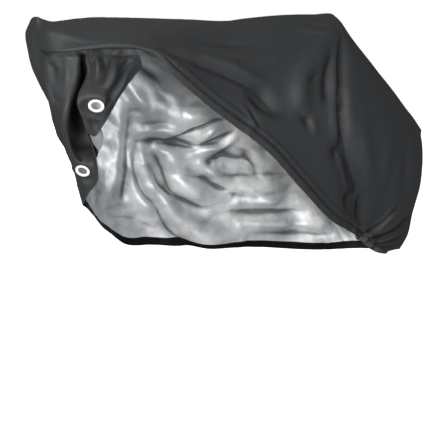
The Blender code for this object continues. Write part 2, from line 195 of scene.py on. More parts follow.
def awayFrom(line, grid):
    # distance of each point of the grid from a polyline
    best = np.full(grid.shape[:2], np.inf)
    for start, end in zip(line[:-1], line[1:]):
        best = np.minimum(best, np.linalg.norm(besideLine(grid, start, end)[1], axis=-1))
    return best


def mainFolds(grid, folds):
    # large soft folds, drawn in side view: width, then x z depth at the start and at the end
    push = np.zeros(grid.shape[:2])
    for width, *ends in folds:
        start, end = metres(ends)
        share, offset = besideLine(grid[..., [0, 2]], start[:2], end[:2])
        depth = start[2] + (end[2] - start[2]) * share
        push += depth * hill(np.linalg.norm(offset, axis=-1), width / 1000)
    return push


def placeInSideView(grid, points):
    # column and row of the grid nearest each x z
    flat = grid[..., [0, 2]].reshape(-1, 2)
    nearest = [np.argmin(((flat - point) ** 2).sum(1)) for point in metres(points)]
    return np.array([divmod(k, grid.shape[1]) for k in nearest], float)


def readGrid(grid, places):
    # points of the grid at fractional columns and rows
    last = np.array(grid.shape[:2]) - 1
    places = np.clip(places, 0, last)
    corner = np.minimum(places.astype(int), last - 1)
    part = places - corner
    i, j = corner.T
    u, v = part[:, :1], part[:, 1:]
    return ((1 - u) * (1 - v) * grid[i, j] + u * (1 - v) * grid[i + 1, j]
            + (1 - u) * v * grid[i, j + 1] + u * v * grid[i + 1, j + 1])


creaseCurve = {
    "steps": 5,              # straight steps for each point of a crease
    "reach": 3.2,            # widths beyond which it is too shallow to count
    "turnOver": 20,          # how abruptly a leaning crease changes from one side to the other
    "roundFloor": 3,         # thicknesses of cloth over which the very bottom of a fold is round
}


def creases(grid, normals, table, place):
    # each row: width, lean, sharpness, then place and depth at each point.  Out is +, in is -.
    # A lean over 0 makes the side that lies to the left of its run broader, a lean under 0
    # the right one.  Sharpness 2 is a soft fold and 1 a sharp crease.
    push = np.zeros(grid.shape[:2])
    flat = grid.reshape(-1, 3)
    facing = normals.reshape(-1, 3)
    floor = creaseCurve["roundFloor"] * cloth["thickness"]
    for width, lean, sharpness, *points in table:
        width = width / 1000
        points = np.array(points, float)
        knots = np.linspace(0, 1, len(points))
        wanted = np.linspace(0, 1, creaseCurve["steps"] * len(points))
        line = readGrid(grid, through(knots, place(grid, points[:, :2]), wanted))
        depths = through(knots, metres(points[:, 2]), wanted)
        reach = creaseCurve["reach"] * width * (1 + abs(lean))
        inReach = (flat > line.min(0) - reach) & (flat < line.max(0) + reach)
        near = np.nonzero(inReach.all(1))[0]
        best = np.full(len(near), np.inf)
        deep = np.zeros(len(near))
        left = np.zeros(len(near))
        for k in range(len(line) - 1):
            share, offset = besideLine(flat[near], line[k], line[k + 1])
            gap = np.linalg.norm(offset, axis=1)
            closer = gap < best
            best = np.where(closer, gap, best)
            deep = np.where(closer, depths[k] + share * (depths[k + 1] - depths[k]), deep)
            turn = (np.cross(facing[near], line[k + 1] - line[k]) * offset).sum(1)
            left = np.where(closer, turn, left)
        turned = left / (np.abs(left).max() + tiny) * creaseCurve["turnOver"]
        best = (np.sqrt(best**2 + floor**2) - floor) / (width * (1 + lean * np.clip(turned, -1, 1)))
        push.ravel()[near] += deep * np.exp(-(best ** sharpness))
    return softened(push)


latticeSize = 97     # a random pattern starts again after this many cells


def latticeCells(u, v):
    # cell that each place lies in, the next one, and how far across the cell the place is
    i, j = np.floor(u).astype(int), np.floor(v).astype(int)
    here = i % latticeSize, j % latticeSize
    after = (i + 1) % latticeSize, (j + 1) % latticeSize
    return here, after, u - i, v - j


def lattice(seed, u, v, cell):
    # smooth random field between -1 and 1 whose bumps are about one cell across
    draws = np.random.default_rng(seed).uniform(-1, 1, (latticeSize, latticeSize))
    (i, j), (k, m), s, t = latticeCells(u / cell, v / cell)
    s, t = ease(s), ease(t)
    return ((1 - s) * (1 - t) * draws[i, j] + s * (1 - t) * draws[k, j]
            + (1 - s) * t * draws[i, m] + s * t * draws[k, m])


def crumple(seed, u, v, cell):
    # ridges and facets, as in stiff coated cloth that has been packed
    shares = (1.0, 0.5, 0.25)            # of ridges each half the size of the last
    firstTurn, nextTurn = 0.9, 1.3       # radians, so that no two sets run alike
    bendShare, bendSize = 0.35, 1.7      # how far the ridges wander, and over how many cells
    field = np.zeros(np.shape(u))
    for octave, share in enumerate(shares):
        turned = firstTurn + nextTurn * octave
        a = u * math.cos(turned) - v * math.sin(turned)
        b = u * math.sin(turned) + v * math.cos(turned)
        bend = bendShare * cell * lattice(seed + 7 * octave, a, b, bendSize * cell)
        ridges = lattice(seed + octave, a + bend, b - bend, cell / 2**octave)
        field += share * (1 - 2 * np.abs(ridges))
    return field / sum(shares)


def facets(seed, u, v, cell):
    # flat facets that meet in crisp edges, as in foil that has been crushed and pulled out again
    draws = np.random.default_rng(seed).uniform(-1, 1, (latticeSize, latticeSize))
    turn = (0.8, 0.6)                    # cosine and sine of the facets' turn from the weave
    bendShare, bendSize = 0.45, 1.3
    bend = [bendShare * cell * lattice(seed + k, u, v, bendSize * cell) for k in (1, 2)]
    a = (turn[0] * u + turn[1] * v + bend[0]) / cell
    b = (turn[0] * v - turn[1] * u + bend[1]) / cell
    (i, j), (k, m), s, t = latticeCells(a + 0.5 * b, b)      # skewed, so that a cell is two triangles
    near, right, left, far = draws[i, j], draws[k, j], draws[i, m], draws[k, m]
    lower = near + s * (right - near) + t * (left - near)
    upper = far + (1 - s) * (left - far) + (1 - t) * (right - far)
    return np.where(s + t > 1, upper, lower)


def unevenness(grid, p, seed):
    # slow waves, and the faint facets that cloth keeps from its packing
    u, v = along(grid), down(grid)
    height, size = p["wander"]
    ridges, cell = p["crumple"]
    return height * lattice(seed, u, v, size) + ridges * crumple(seed + 3, u, v, cell)


def puckers(run, away, p, seed):
    # small gathers square to a stitched line
    height, pitch, reach = p["pucker"]
    secondShare, secondPitch = 0.5, 0.6      # of smaller waves that run out unevenly
    waves = lattice(seed, run, np.zeros_like(run), pitch)
    waves = waves + secondShare * lattice(seed + 1, run, away, secondPitch * pitch)
    return height * waves * np.exp(-away / reach)


def seamDip(away):
    return -cloth["seamDip"] * hill(away, cloth["seamDipReach"])


def foldSide(grid, p, side, ends, share):
    # main folds of a side; they die out towards nose and tail, and towards the ridge
    calm = np.clip(ends / p["calm"], 0, 1) * np.clip(share / p["calmShare"], 0, 1)
    push = mainFolds(grid, p["folds"]) * calm
    return grid + push[..., None] * gridNormals(grid, side)


def relief(grid, normals, p, held, place):
    # creases and unevenness, as far as the seams let them stand
    push = creases(grid, normals, p["creases"], place) * held
    return push + unevenness(grid, p, p["seeds"][0]) * held


def hemThickness(hemGap):
    layers = ease((cloth["hemWidth"] - hemGap) / cloth["hemStep"] + 0.5)
    return cloth["thickness"] + cloth["hemLayers"] * layers


def newObject(name, data):
    thing = bpy.data.objects.new(name, data)
    bpy.context.collection.objects.link(thing)
    return thing


def sheetObject(name, grid, normals, thickness, hemGap, seamGap, finishes):
    # closed sheet: the grid is its outer face, and its inner face lies a thickness behind
    columns, rows = grid.shape[:2]
    half = columns * rows
    inner = grid - thickness[..., None] * normals
    verts = np.concatenate([grid.reshape(-1, 3), inner.reshape(-1, 3)])
    index = np.arange(half).reshape(columns, rows)
    quads = (index[:-1, :-1], index[:-1, 1:], index[1:, 1:], index[1:, :-1])
    a, b, c, d = (part.ravel() for part in quads)
    # both faces are cut along the same, shorter diagonal, so that they cannot cross each other
    shorter = np.linalg.norm(verts[a] - verts[c], axis=1) <= np.linalg.norm(verts[b] - verts[d], axis=1)
    outerFaces = np.concatenate([
        np.where(shorter[:, None], np.stack(one, axis=1), np.stack(other, axis=1))
        for one, other in (((a, b, c), (a, b, d)), ((a, c, d), (b, c, d)))])
    rim = np.concatenate([index[:, 0], index[-1, 1:], index[-2::-1, -1], index[0, -2:0:-1]])
    rimFaces = np.stack([rim, np.roll(rim, -1), np.roll(rim, -1) + half, rim + half], axis=-1)
    # the outer faces have to point the way the normals do
    first, second, third = (verts[outerFaces[:, k]] for k in range(3))
    facing = (np.cross(second - first, third - first) * normals.reshape(-1, 3)[outerFaces[:, 0]]).sum()
    if facing < 0:
        outerFaces = outerFaces[:, ::-1]
    else:
        rimFaces = rimFaces[:, ::-1]
    faces = (outerFaces, outerFaces[:, ::-1] + half, rimFaces)
    mesh = bpy.data.meshes.new(name)
    mesh.from_pydata(verts.tolist(), [], [face for part in faces for face in part.tolist()])
    # the hem is turned in, so its inner side shows the back of the turned cloth, in the third finish; on
    # the far side and the corner that one is painted near black as shade
    inHem = hemGap.reshape(-1)[outerFaces].mean(1) < cloth["hemWidth"]
    slots = np.concatenate([np.zeros(len(outerFaces)), np.where(inHem, 2, 1), np.zeros(len(rimFaces))])
    mesh.polygons.foreach_set("material_index", slots.astype(np.int32))
    corners = np.concatenate([part.ravel() for part in faces])
    for layer, first, second in (("cloth", along(grid), down(grid)), ("edges", hemGap, seamGap)):
        pair = np.stack([first.reshape(-1), second.reshape(-1)], axis=-1)
        pair = np.concatenate([pair, pair])
        uv = mesh.uv_layers.new(name=layer)
        uv.data.foreach_set("uv", pair[corners].astype(np.float32).ravel())
    for finish in finishes:
        mesh.materials.append(finish)
    # how far each point stands out of its surroundings; painted shade in the bottoms of the folds
    # follows it
    fold = ((grid - softened(grid, cloth["foldPasses"])) * normals).sum(axis=2).reshape(-1)
    values = mesh.attributes.new("fold", "FLOAT", "POINT")
    values.data.foreach_set("value", np.concatenate([fold, fold]).astype(np.float32))
    mesh.validate()
    mesh.shade_smooth()
    mesh.set_sharp_from_angle(angle=math.radians(cloth["sharpFrom"]))
    return newObject(name, mesh)


sideEdges = (np.s_[0, :], np.s_[-1, :], np.s_[:, 0])     # nose, tail and ridge of a side's grid


def finishSheet(name, grid, side, thickness, hemGap, seamGap, finishes, edges=sideEdges):
    # the dip along a seam may not carry the cloth across to the other side
    least = cloth["seamGap"] / 2 + cloth["seamLean"] * np.minimum(seamGap, cloth["seamDipReach"])
    grid[..., 1] = side * np.maximum(side * grid[..., 1], least)
    normals = gridNormals(grid, side)
    # the seam edges end square to y, a hair from the other side's
    for edge in edges:
        normals[edge][..., 1] = 0
        normals[edge] = unit(normals[edge])
        grid[edge][..., 1] = side * cloth["seamGap"] / 2
    thing = sheetObject(name, grid, normals, thickness, hemGap, seamGap, finishes)
    return thing, grid, normals


def linear(code):
    # sRGB hex to linear red, green, blue
    parts = [int(code[k:k + 2], 16) / 255 for k in (0, 2, 4)]
    return [c / 12.92 if c <= 0.04045 else ((c + 0.055) / 1.055) ** 2.4 for c in parts]


def colour(code):
    return (*linear(code), 1.0)


def plug(tree, node, sockets):
    # a socket's value is a constant or another node's output
    for key, value in sockets.items():
        if isinstance(value, bpy.types.NodeSocket):
            tree.links.new(value, node.inputs[key])
        else:
            node.inputs[key].default_value = value


def addNode(tree, kind, sockets, output=0, **settings):
    # adds a node and gives back the output that is wanted
    node = tree.nodes.new("ShaderNode" + kind)
    for key, value in settings.items():
        setattr(node, key, value)
    plug(tree, node, sockets)
    return node.outputs[output]


def newFinish(name):
    material = bpy.data.materials.new(name)
    material.use_nodes = True
    return material, material.node_tree, material.node_tree.nodes["Principled BSDF"]


middling = {1: 0.3, 2: 0.7}     # most of a noise's values lie between these
patchy = {1: 0.35, 2: 0.65}     # closer together, for patches with clearer edges


def weave(tree, pitch):
    # plain weave: warp and weft threads this far apart, over and under in turn
    uv = addNode(tree, "UVMap", {}, uv_map="cloth")
    waves = []
    for k in range(2):
        run = addNode(tree, "SeparateXYZ", {0: uv}, k)
        turn = addNode(tree, "Math", {0: run, 1: math.pi / pitch}, operation="MULTIPLY")
        waves.append(addNode(tree, "Math", {0: turn}, operation="SINE"))
    return addNode(tree, "Math", {0: waves[0], 1: waves[1]}, operation="MULTIPLY")


def lineBeside(tree, edge, away, width):
    # 1 on a line this far from an edge, falling to 0 a width away; edge 0 is the hem, 1 the seam
    distance = addNode(tree, "SeparateXYZ", {0: addNode(tree, "UVMap", {}, uv_map="edges")}, edge)
    off = addNode(tree, "Math", {0: distance, 1: away}, operation="SUBTRACT")
    off = addNode(tree, "Math", {0: off}, operation="ABSOLUTE")
    return addNode(tree, "MapRange", {0: off, 1: 0.0, 2: width, 3: 1.0, 4: 0.0})


def patched(tree, spot, p):
    # two tones in soft patches, the second of them painted light: a reflection of the sky on the outer
    # face, shade on the inner
    patches = addNode(tree, "TexNoise", {"Vector": spot, **p["patches"]})
    share = addNode(tree, "MapRange", {0: patches, **patchy})
    tones = {0: share, 6: colour(p["main"]), 7: colour(p["other"])}
    return addNode(tree, "Mix", tones, 2, data_type="RGBA")


def paintFoldShade(tree, tint, p):
    # painted shade in the bottoms of the folds, darker the deeper they lie, as seen from this face of
    # the cloth
    fold = addNode(tree, "Attribute", {}, "Fac", attribute_name="fold")
    start, full = p["foldShadeDepths"]
    share = addNode(tree, "MapRange", {0: fold, 1: start, 2: full, 3: 0.0, 4: p["foldShadeShare"]})
    tones = {0: share, 6: tint, 7: colour(p["foldShadeColour"])}
    return addNode(tree, "Mix", tones, 2, data_type="RGBA")


def crinkled(tree, spot, p):
    # relief of small crinkles, coarse ones and finer ones over them
    coarse, fine = (addNode(tree, "TexNoise", {"Vector": spot, **p[key]})
                    for key in ("crinkle", "fineCrinkle"))
    fine = addNode(tree, "Math", {0: fine, 1: p["fineShare"]}, operation="MULTIPLY")
    height = addNode(tree, "Math", {0: coarse, 1: fine}, operation="ADD")
    return addNode(tree, "Bump", {"Height": height, "Distance": p["crinkleHeight"]})


outerCloth = {
    "main": "2f3133",         # charcoal, dyed in the yarn
    "other": "303235",        # the same, a shade cooler in random patches, as painted reflection of the sky
    "patches": {"Scale": 4.5, "Detail": 3.0},                       # 220 mm apart
    "rubbed": "4c4e51",       # paler where edges have rubbed
    "wear": 0.7,
    "wearWidth": 0.003,
    "foldShadeColour": "101113",      # painted shade down in the folds
    "foldShadeShare": 0.7,
    "foldShadeDepths": (-0.0004, -0.0036),    # where that starts and is full
    "threadPitch": 0.0012,    # real threads are 0.35 mm apart; coarser, so that they can show
    "threadHeight": 0.00005,
    "threadShade": 0.05,
    "dust": {"Scale": 60.0, "Detail": 4.0, "Roughness": 0.65},      # specks 17 mm apart
    "dustShade": 0.16,
    "crinkle": {"Scale": 22.0, "Detail": 3.0, "Distortion": 0.6},   # 45 mm apart
    "fineCrinkle": {"Scale": 70.0, "Distortion": 0.3},              # 14 mm
    "fineShare": 0.25,
    "crinkleHeight": 0.0011,
    "stitchFromEdge": 0.0305,
    "stitchFromSeam": 0.0065,
    "stitchWidth": 0.0022,
    "stitchDepth": 0.0006,
    "roughness": (0.52, 0.68),
    "specular": 0.35,
    "sheen": 0.02,
    "sheenRoughness": 0.45,
}
# the back of the same charcoal cloth, painted near black and less glossy as shade inside the turned hem
shadedTurnedHem = {**outerCloth, "main": "08090a", "other": "090a0b", "rubbed": "161719",
             "specular": 0.14, "sheen": 0.0}


def makeOuterFinish(name, p):
    # plain-weave polyester, coated: a dull charcoal with a soft wide sheen, thread texture
    # close to, and seams that pull the cloth in a little along their stitches
    material, tree, shader = newFinish(name)
    spot = addNode(tree, "TexCoord", {}, "Object")
    dust = addNode(tree, "TexNoise", {"Vector": spot, **p["dust"]})
    edge = lineBeside(tree, 0, 0.0, p["wearWidth"])
    worn = addNode(tree, "Math", {0: edge, 1: dust}, operation="MULTIPLY")
    worn = addNode(tree, "Math", {0: worn, 1: p["wear"]}, operation="MULTIPLY")
    tones = {0: worn, 6: patched(tree, spot, p), 7: colour(p["rubbed"])}
    # painted shade darkens the bottoms of the folds
    tint = paintFoldShade(tree, addNode(tree, "Mix", tones, 2, data_type="RGBA"), p)
    threads = weave(tree, p["threadPitch"])
    shade = {0: dust, 1: p["dustShade"], 2: 1 - p["dustShade"] / 2}
    shade = addNode(tree, "Math", shade, operation="MULTIPLY_ADD")
    shade = {0: threads, 1: p["threadShade"], 2: shade}
    shade = addNode(tree, "Math", shade, operation="MULTIPLY_ADD")
    tint = addNode(tree, "VectorMath", {0: tint, "Scale": shade}, operation="SCALE")
    lines = {k: lineBeside(tree, k, p[key], p["stitchWidth"])
             for k, key in enumerate(("stitchFromEdge", "stitchFromSeam"))}
    stitched = addNode(tree, "Math", lines, operation="ADD")
    stitched = addNode(tree, "Math", {0: stitched, 1: -1.0}, operation="MULTIPLY")
    normal = crinkled(tree, spot, p)
    for height, distance in ((stitched, p["stitchDepth"]), (threads, p["threadHeight"])):
        normal = addNode(tree, "Bump", {"Height": height, "Distance": distance, "Normal": normal})
    low, high = p["roughness"]
    plug(tree, shader, {
        "Base Color": tint, "Normal": normal, "IOR": 1.5, "Specular IOR Level": p["specular"],
        "Roughness": addNode(tree, "MapRange", {0: dust, **middling, 3: low, 4: high}),
        "Sheen Weight": p["sheen"], "Sheen Roughness": p["sheenRoughness"]})
    return material


innerCloth = {
    "main": "e9ebed",          # silver coating, pale grey
    "other": "b1b4b9",         # painted shade, a darker grey in random patches
    "patches": {"Scale": 7.0, "Detail": 4.0, "Roughness": 0.6},                        # 140 mm
    "foldShadeColour": "3c3e41",       # painted shade along the bottoms of its creases
    "foldShadeShare": 0.85,
    "foldShadeDepths": (0.0004, 0.0045),
    "threadPitch": 0.0012,     # as on the outer face
    "threadHeight": 0.00004,
    "crinkle": {"Scale": 16.0, "Detail": 4.0, "Roughness": 0.55, "Distortion": 0.9},   # 60 mm
    "fineCrinkle": {"Scale": 55.0, "Distortion": 0.6},                                 # 18 mm
    "fineShare": 0.3,
    "crinkleHeight": 0.0016,
    "gloss": {"Scale": 30.0, "Detail": 3.0},                                           # 33 mm
    "roughness": (0.40, 0.52),
    "metallic": 0.36,          # flakes of aluminium in a clear binder
}


def makeInnerFinish(name, p):
    # polyurethane coating with aluminium powder: pale, a third metallic, full of fine crinkles
    material, tree, shader = newFinish(name)
    spot = addNode(tree, "TexCoord", {}, "Object")
    threads = {"Height": weave(tree, p["threadPitch"]), "Distance": p["threadHeight"],
               "Normal": crinkled(tree, spot, p)}
    gloss = addNode(tree, "TexNoise", {"Vector": spot, **p["gloss"]})
    low, high = p["roughness"]
    plug(tree, shader, {
        # base colour with painted shade in random patches and in the bottoms of the creases
        "Base Color": paintFoldShade(tree, patched(tree, spot, p), p), "IOR": 1.5,
        "Normal": addNode(tree, "Bump", threads), "Metallic": p["metallic"],
        "Roughness": addNode(tree, "MapRange", {0: gloss, **middling, 3: low, 4: high})})
    return material


outerFinish = makeOuterFinish("coated_polyester_charcoal", outerCloth)
shadedHemFinish = makeOuterFinish("turned_hem_painted_shade", shadedTurnedHem)
innerFinish = makeInnerFinish("aluminised_coating_silver", innerCloth)
clothFinishes = (outerFinish, innerFinish, shadedHemFinish)
print("cloth finishes made")


nearSide = {
    "spacing": 0.0062,       # from one column to the next
    "rows": 112,
    "hemRows": 12,
    "shares": (0.0, 0.24, 0.60, 1.0),
    # ridge, shoulder, belly and crease, x y z each, and the hem's tuck past the crease in degrees
    "sections": [
        ((-745, 0, 5), (-760, -26, -1), (-781, -64, -22), (-785, -80, -73), 172),
        ((-705, 0, 4), (-724, -38, -3), (-750, -90, -22), (-759, -124, -71), 172),
        ((-650, 0, 11), (-666, -46, 0), (-689, -112, -26), (-706, -155, -63), 172),
        ((-577, 0, 14), (-584, -50, 2), (-594, -130, -24), (-602, -197, -61), 172),
        ((-490, 0, 12), (-507, -54, 0), (-532, -140, -26), (-550, -210, -64), 165),
        ((-415, 0, 10), (-436, -58, -4), (-470, -146, -34), (-498, -218, -77), 105),
        ((-340, 0, 7), (-362, -64, -10), (-402, -156, -56), (-434, -225, -130), 25),
        ((-230, 0, 2), (-244, -80, -30), (-264, -168, -115), (-287, -234, -246), 0),
        ((-128, 0, -5), (-136, -88, -50), (-150, -186, -174), (-161, -239, -335), 0),
        ((-20, 0, 4), (-28, -93, -58), (-44, -184, -220), (-62, -240, -412), 0),
        ((130, 0, 13), (122, -92, -54), (100, -187, -278), (76, -224, -538), 0),
        ((285, 0, 14), (280, -88, -50), (268, -188, -340), (290, -172, -716), 0),
        ((388, 0, 10), (376, -80, -54), (386, -186, -410), (425, -122, -784), 0),
        ((408, 0, -12), (409, -83, -90), (430, -184, -442), (470, -104, -812), 0),
        ((529, 0, -130), (524, -90, -197), (545, -170, -514), (562, -67, -868), 0),
        ((645, 0, -235), (645, -93, -304), (670, -148, -592), (640, -52, -928), 0),
        ((770, 0, -342), (768, -83, -417), (788, -110, -647), (715, -40, -945), 0),
        ((850, 0, -410), (846, -56, -487), (852, -62, -692), (785, -20, -956), 0),
    ],
    # main folds, in side view: width, then x z depth at the start and at the end
    "folds": [
        (26, (338, -42, -4), (284, -285, -10)),
        (30, (284, -285, -10), (262, -462, -16)),
        (34, (262, -462, -16), (370, -671, -24)),
        (30, (370, -671, -24), (440, -780, -10)),
        (60, (300, -60, 8), (90, -250, 10)),
        (40, (-320, -134, -8), (-95, -249, -12)),
        (36, (-95, -249, -12), (93, -338, -6)),
        (24, (565, -840, -10), (664, -767, -4)),
        (26, (620, -880, -10), (800, -836, -6)),
    ],
    "calm": 0.14,            # the main folds die out this near the seams
    "calmShare": 0.157,      # and over this share of the drop from the ridge
    # width, lean, sharpness, then x z depth at each point
    "creases": [
        # pull from the saddle's tip down to the gather at the rear
        (15, -0.2, 1.7, (340, -50, 1), (285, -110, 4), (262, -170, 8), (244, -240, 11),
         (233, -335, 12), (250, -430, 12), (285, -510, 12), (335, -610, 14), (400, -730, 5)),
        (24, 0.3, 1.9, (352, -50, -3), (320, -120, -12), (296, -200, -19), (278, -300, -22),
         (286, -400, -22), (320, -500, -23), (369, -590, -27), (420, -680, -31), (458, -760, -24),
         (495, -815, -5)),
        # wedge of cloth stretched from the tip towards the handlebar
        (34, 0, 2, (300, -62, 4), (215, -110, 16), (130, -160, 24), (78, -225, 23), (85, -300, 7)),
        (19, 0, 1.8, (275, -90, -4), (230, -165, -17), (206, -245, -17), (196, -300, -1)),
        (8, 0, 1.6, (98, -216, -1), (135, -198, -8), (174, -172, -1)),
        (13, 0, 1.8, (126, -335, 1), (133, -362, 8), (139, -392, 1)),
        (12, 0, 1.8, (50, -302, -1), (98, -338, -10), (114, -372, -1)),
        # folds that fan back from the handlebar grip
        (15, 0.35, 1.7, (-525, -76, -3), (-450, -90, -7), (-370, -115, -11), (-287, -144, -14),
         (-220, -172, -16), (-156, -198, -18), (-100, -228, -16), (-60, -268, -12),
         (-28, -302, -1)),
        (18, 0, 2, (-480, -66, 1), (-362, -96, 7), (-205, -140, 11), (-85, -196, 3)),
        (15, 0, 1.8, (-170, -215, -1), (-110, -262, -14), (-50, -300, -12), (30, -312, -1)),
        (19, 0, 2, (-345, -62, -3), (-192, -74, -14), (-36, -86, -1)),
        (18, 0, 2, (-356, -84, 1), (-144, -104, 8), (74, -122, 1)),
        # hollow under the ridge in front of the saddle's tip
        (16, 0, 1.8, (150, -6, -1), (238, -20, -11), (325, -32, -4)),
        (10, 0, 1.8, (100, -30, 1), (200, -42, 7), (320, -60, 4)),
        # short folds over the front hem
        (8, 0, 1.6, (-192, -262, 1), (-168, -302, 8), (-152, -338, 3)),
        (8, 0, 1.6, (-168, -262, -1), (-146, -300, -8), (-130, -338, -3)),
        # gathers that run up and back from the elastic at the rear
        (10, 0, 1.7, (556, -858, -30), (612, -822, -32), (668, -766, -5)),
        (11, 0, 1.7, (590, -885, -27), (675, -876, -31), (764, -868, -24), (860, -846, -4)),
        (8, 0, 1.7, (630, -918, -24), (700, -926, -27), (790, -930, -5)),
        (11, 0, 1.8, (560, -842, 12), (612, -796, 14), (650, -736, 1)),
        (12, 0, 1.8, (580, -872, 12), (676, -850, 15), (787, -822, 1)),
        (11, 0, 1.8, (610, -902, 11), (726, -902, 14), (840, -896, 1)),
        (13, 0, 1.8, (432, -655, -1), (462, -742, -30), (480, -790, -32), (520, -850, -12)),
        (11, 0, 1.8, (405, -640, 1), (436, -720, 14), (460, -800, 6)),
        # slow swells of the rear
        (34, 0, 2, (540, -740, 1), (530, -570, 9), (555, -420, 1)),
        (30, 0, 2, (385, -330, 1), (410, -510, 11), (488, -660, 1)),
        (30, 0, 2, (650, -420, 1), (672, -600, -9), (700, -740, -1)),
        # band over the front: its upper edge, and the line of its fold
        (10, 0, 1.8, (-778, -20, 2), (-752, -28, 5), (-718, -40, 5), (-659, -50, 4),
         (-595, -56, 1)),
        (5, 0, 1.8, (-690, -58, 0), (-623, -58, 2.5), (-553, -62, 0)),
    ],
    "roll": 0.0045,          # how far the cloth bellies out just above the hem's crease
    "rollWidth": 0.012,
    "freeTuck": 30,          # the hem hangs freely up to this tuck in degrees
    "heldTuck": 90,          # and is held inside from this one
    "hemKink": 62,           # degrees that the hem turns in right under the crease
    "hemKinkReach": 0.0035,
    "hemSteps": 6,           # steps for each of the hem's rows
    "hemPasses": 40,         # evening out of the hem's direction along the crease
    "hemGroove": 0.0080,     # depth of the groove under the stitched crease
    "grooveAt": 0.0050,
    "grooveWidth": 0.0042,
    "tailSwing": 0.060,      # the hem swings to the tail seam over this length
    "wander": (0.0022, 0.16),           # height and size of the slow unevenness
    "crumple": (0.0012, 0.11),          # height and size of its facets
    "pucker": (0.0007, 0.022, 0.030),   # height, pitch and reach of the puckers along seams
    "seeds": (11, 21, 23),              # of the unevenness, then the puckers at seam and hem
}


def freeShare(tucks):
    # 1 where the hem hangs freely, 0 where it is held inside
    p = nearSide
    return np.clip((p["heldTuck"] - tucks) / (p["heldTuck"] - p["freeTuck"]), 0, 1)


def addHem(grid, tucks):
    # carries each column on past its crease: down as a hem, or doubled back inside
    p = nearSide
    crease = unit(np.gradient(grid[:, -1], axis=0))
    heading = grid[:, -1] - grid[:, -2]
    heading = unit(heading - (heading * crease).sum(1, keepdims=True) * crease)
    inward = -gridNormals(grid, -1)[:, -1]
    inward = unit(inward - (inward * heading).sum(1, keepdims=True) * heading)
    heading, inward = (unit(softened(part, p["hemPasses"], (0,))) for part in (heading, inward))
    free = freeShare(tucks)
    step = cloth["hemWidth"] / p["hemRows"] / p["hemSteps"]
    bend = math.pi * cloth["foldRadius"]
    made = [grid[:, -1]]
    for row in range(p["hemRows"]):
        point = made[-1].copy()
        for part in range(p["hemSteps"]):
            gone = (row * p["hemSteps"] + part + 0.5) * step
            turn = tucks * min(gone / bend, 1.0)
            turn = turn + free * p["hemKink"] * math.exp(-(gone / p["hemKinkReach"]) ** 2)
            turn = np.radians(turn)
            point += step * (np.cos(turn)[:, None] * heading + np.sin(turn)[:, None] * inward)
        made.append(point)
    made = np.stack(made[1:], axis=1)
    gone = step * p["hemSteps"] * np.arange(1, p["hemRows"] + 1)
    groove = p["hemGroove"] * hill(gone - p["grooveAt"], p["grooveWidth"])
    made = made + (free[:, None] * groove)[..., None] * inward[:, None]
    return np.concatenate([grid, made], axis=1)


def makeNearGrid():
    p = nearSide
    rows = crowded(p["rows"])
    frontRun = runAlong(frontSeam)
    front = seamCurve(frontSeam, rows * frontRun[bandKnot] / frontRun[-1])
    creaseShare = 1 - cloth["hemWidth"] / runAlong(rearSeam)[-1]
    rear = seamCurve(rearSeam, rows * creaseShare)
    grid, run, places = loftSide(p, front, rear, rows)
    # how far each point lies from the centre seam, over the ridge, the nose and the tail
    ends = np.minimum(places, places[-1] - places)[:, None]
    fromSeam = np.minimum(down(grid), ends)
    grid = foldSide(grid, p, -1, ends, rows)
    normals = gridNormals(grid, -1)
    held = ease(fromSeam / cloth["seamHold"])
    push = relief(grid, normals, p, held, placeInSideView)
    above = down(grid)[:, -1:] - down(grid)
    tucks = np.interp(places, run, [row[-1] for row in p["sections"][:1] + p["sections"]] + [0])
    free = freeShare(tucks)[:, None]
    push += held * free * p["roll"] * hill(above - p["rollWidth"], p["rollWidth"])
    fade = ease(fromSeam / cloth["puckerStart"])
    push += puckers(along(grid), fromSeam, p, p["seeds"][1]) * fade
    push += puckers(along(grid), above, p, p["seeds"][2])
    push += seamDip(fromSeam)
    grid = grid + push[..., None] * normals
    grid[0, :, 1] = grid[-1, :, 1] = grid[:, 0, 1] = 0
    grid = addHem(grid, tucks)
    # the hem swings over to the centre seam's line at the rear
    tail = seamCurve(rearSeam, np.linspace(creaseShare, 1, p["hemRows"] + 1)[1:])
    swing = ease(1 - (places[-1] - places) / p["tailSwing"])[:, None, None]
    grid[:, p["rows"]:] += swing * (tail - grid[-1, p["rows"]:])
    return grid


def makeNearSide():
    grid = makeNearGrid()
    run, gone = along(grid), down(grid)
    hemGap = gone[:, -1:] - gone
    seamGap = np.minimum(gone, np.minimum(run, run[-1:] - run))
    # the band's return is one layer, because the corner hangs on from it
    return finishSheet("near_side_cloth", grid, -1, hemThickness(hemGap), hemGap, seamGap,
                       (outerFinish, innerFinish, outerFinish))


nearCloth, nearGrid, nearNormals = makeNearSide()
print("near side:", len(nearCloth.data.polygons), "faces")


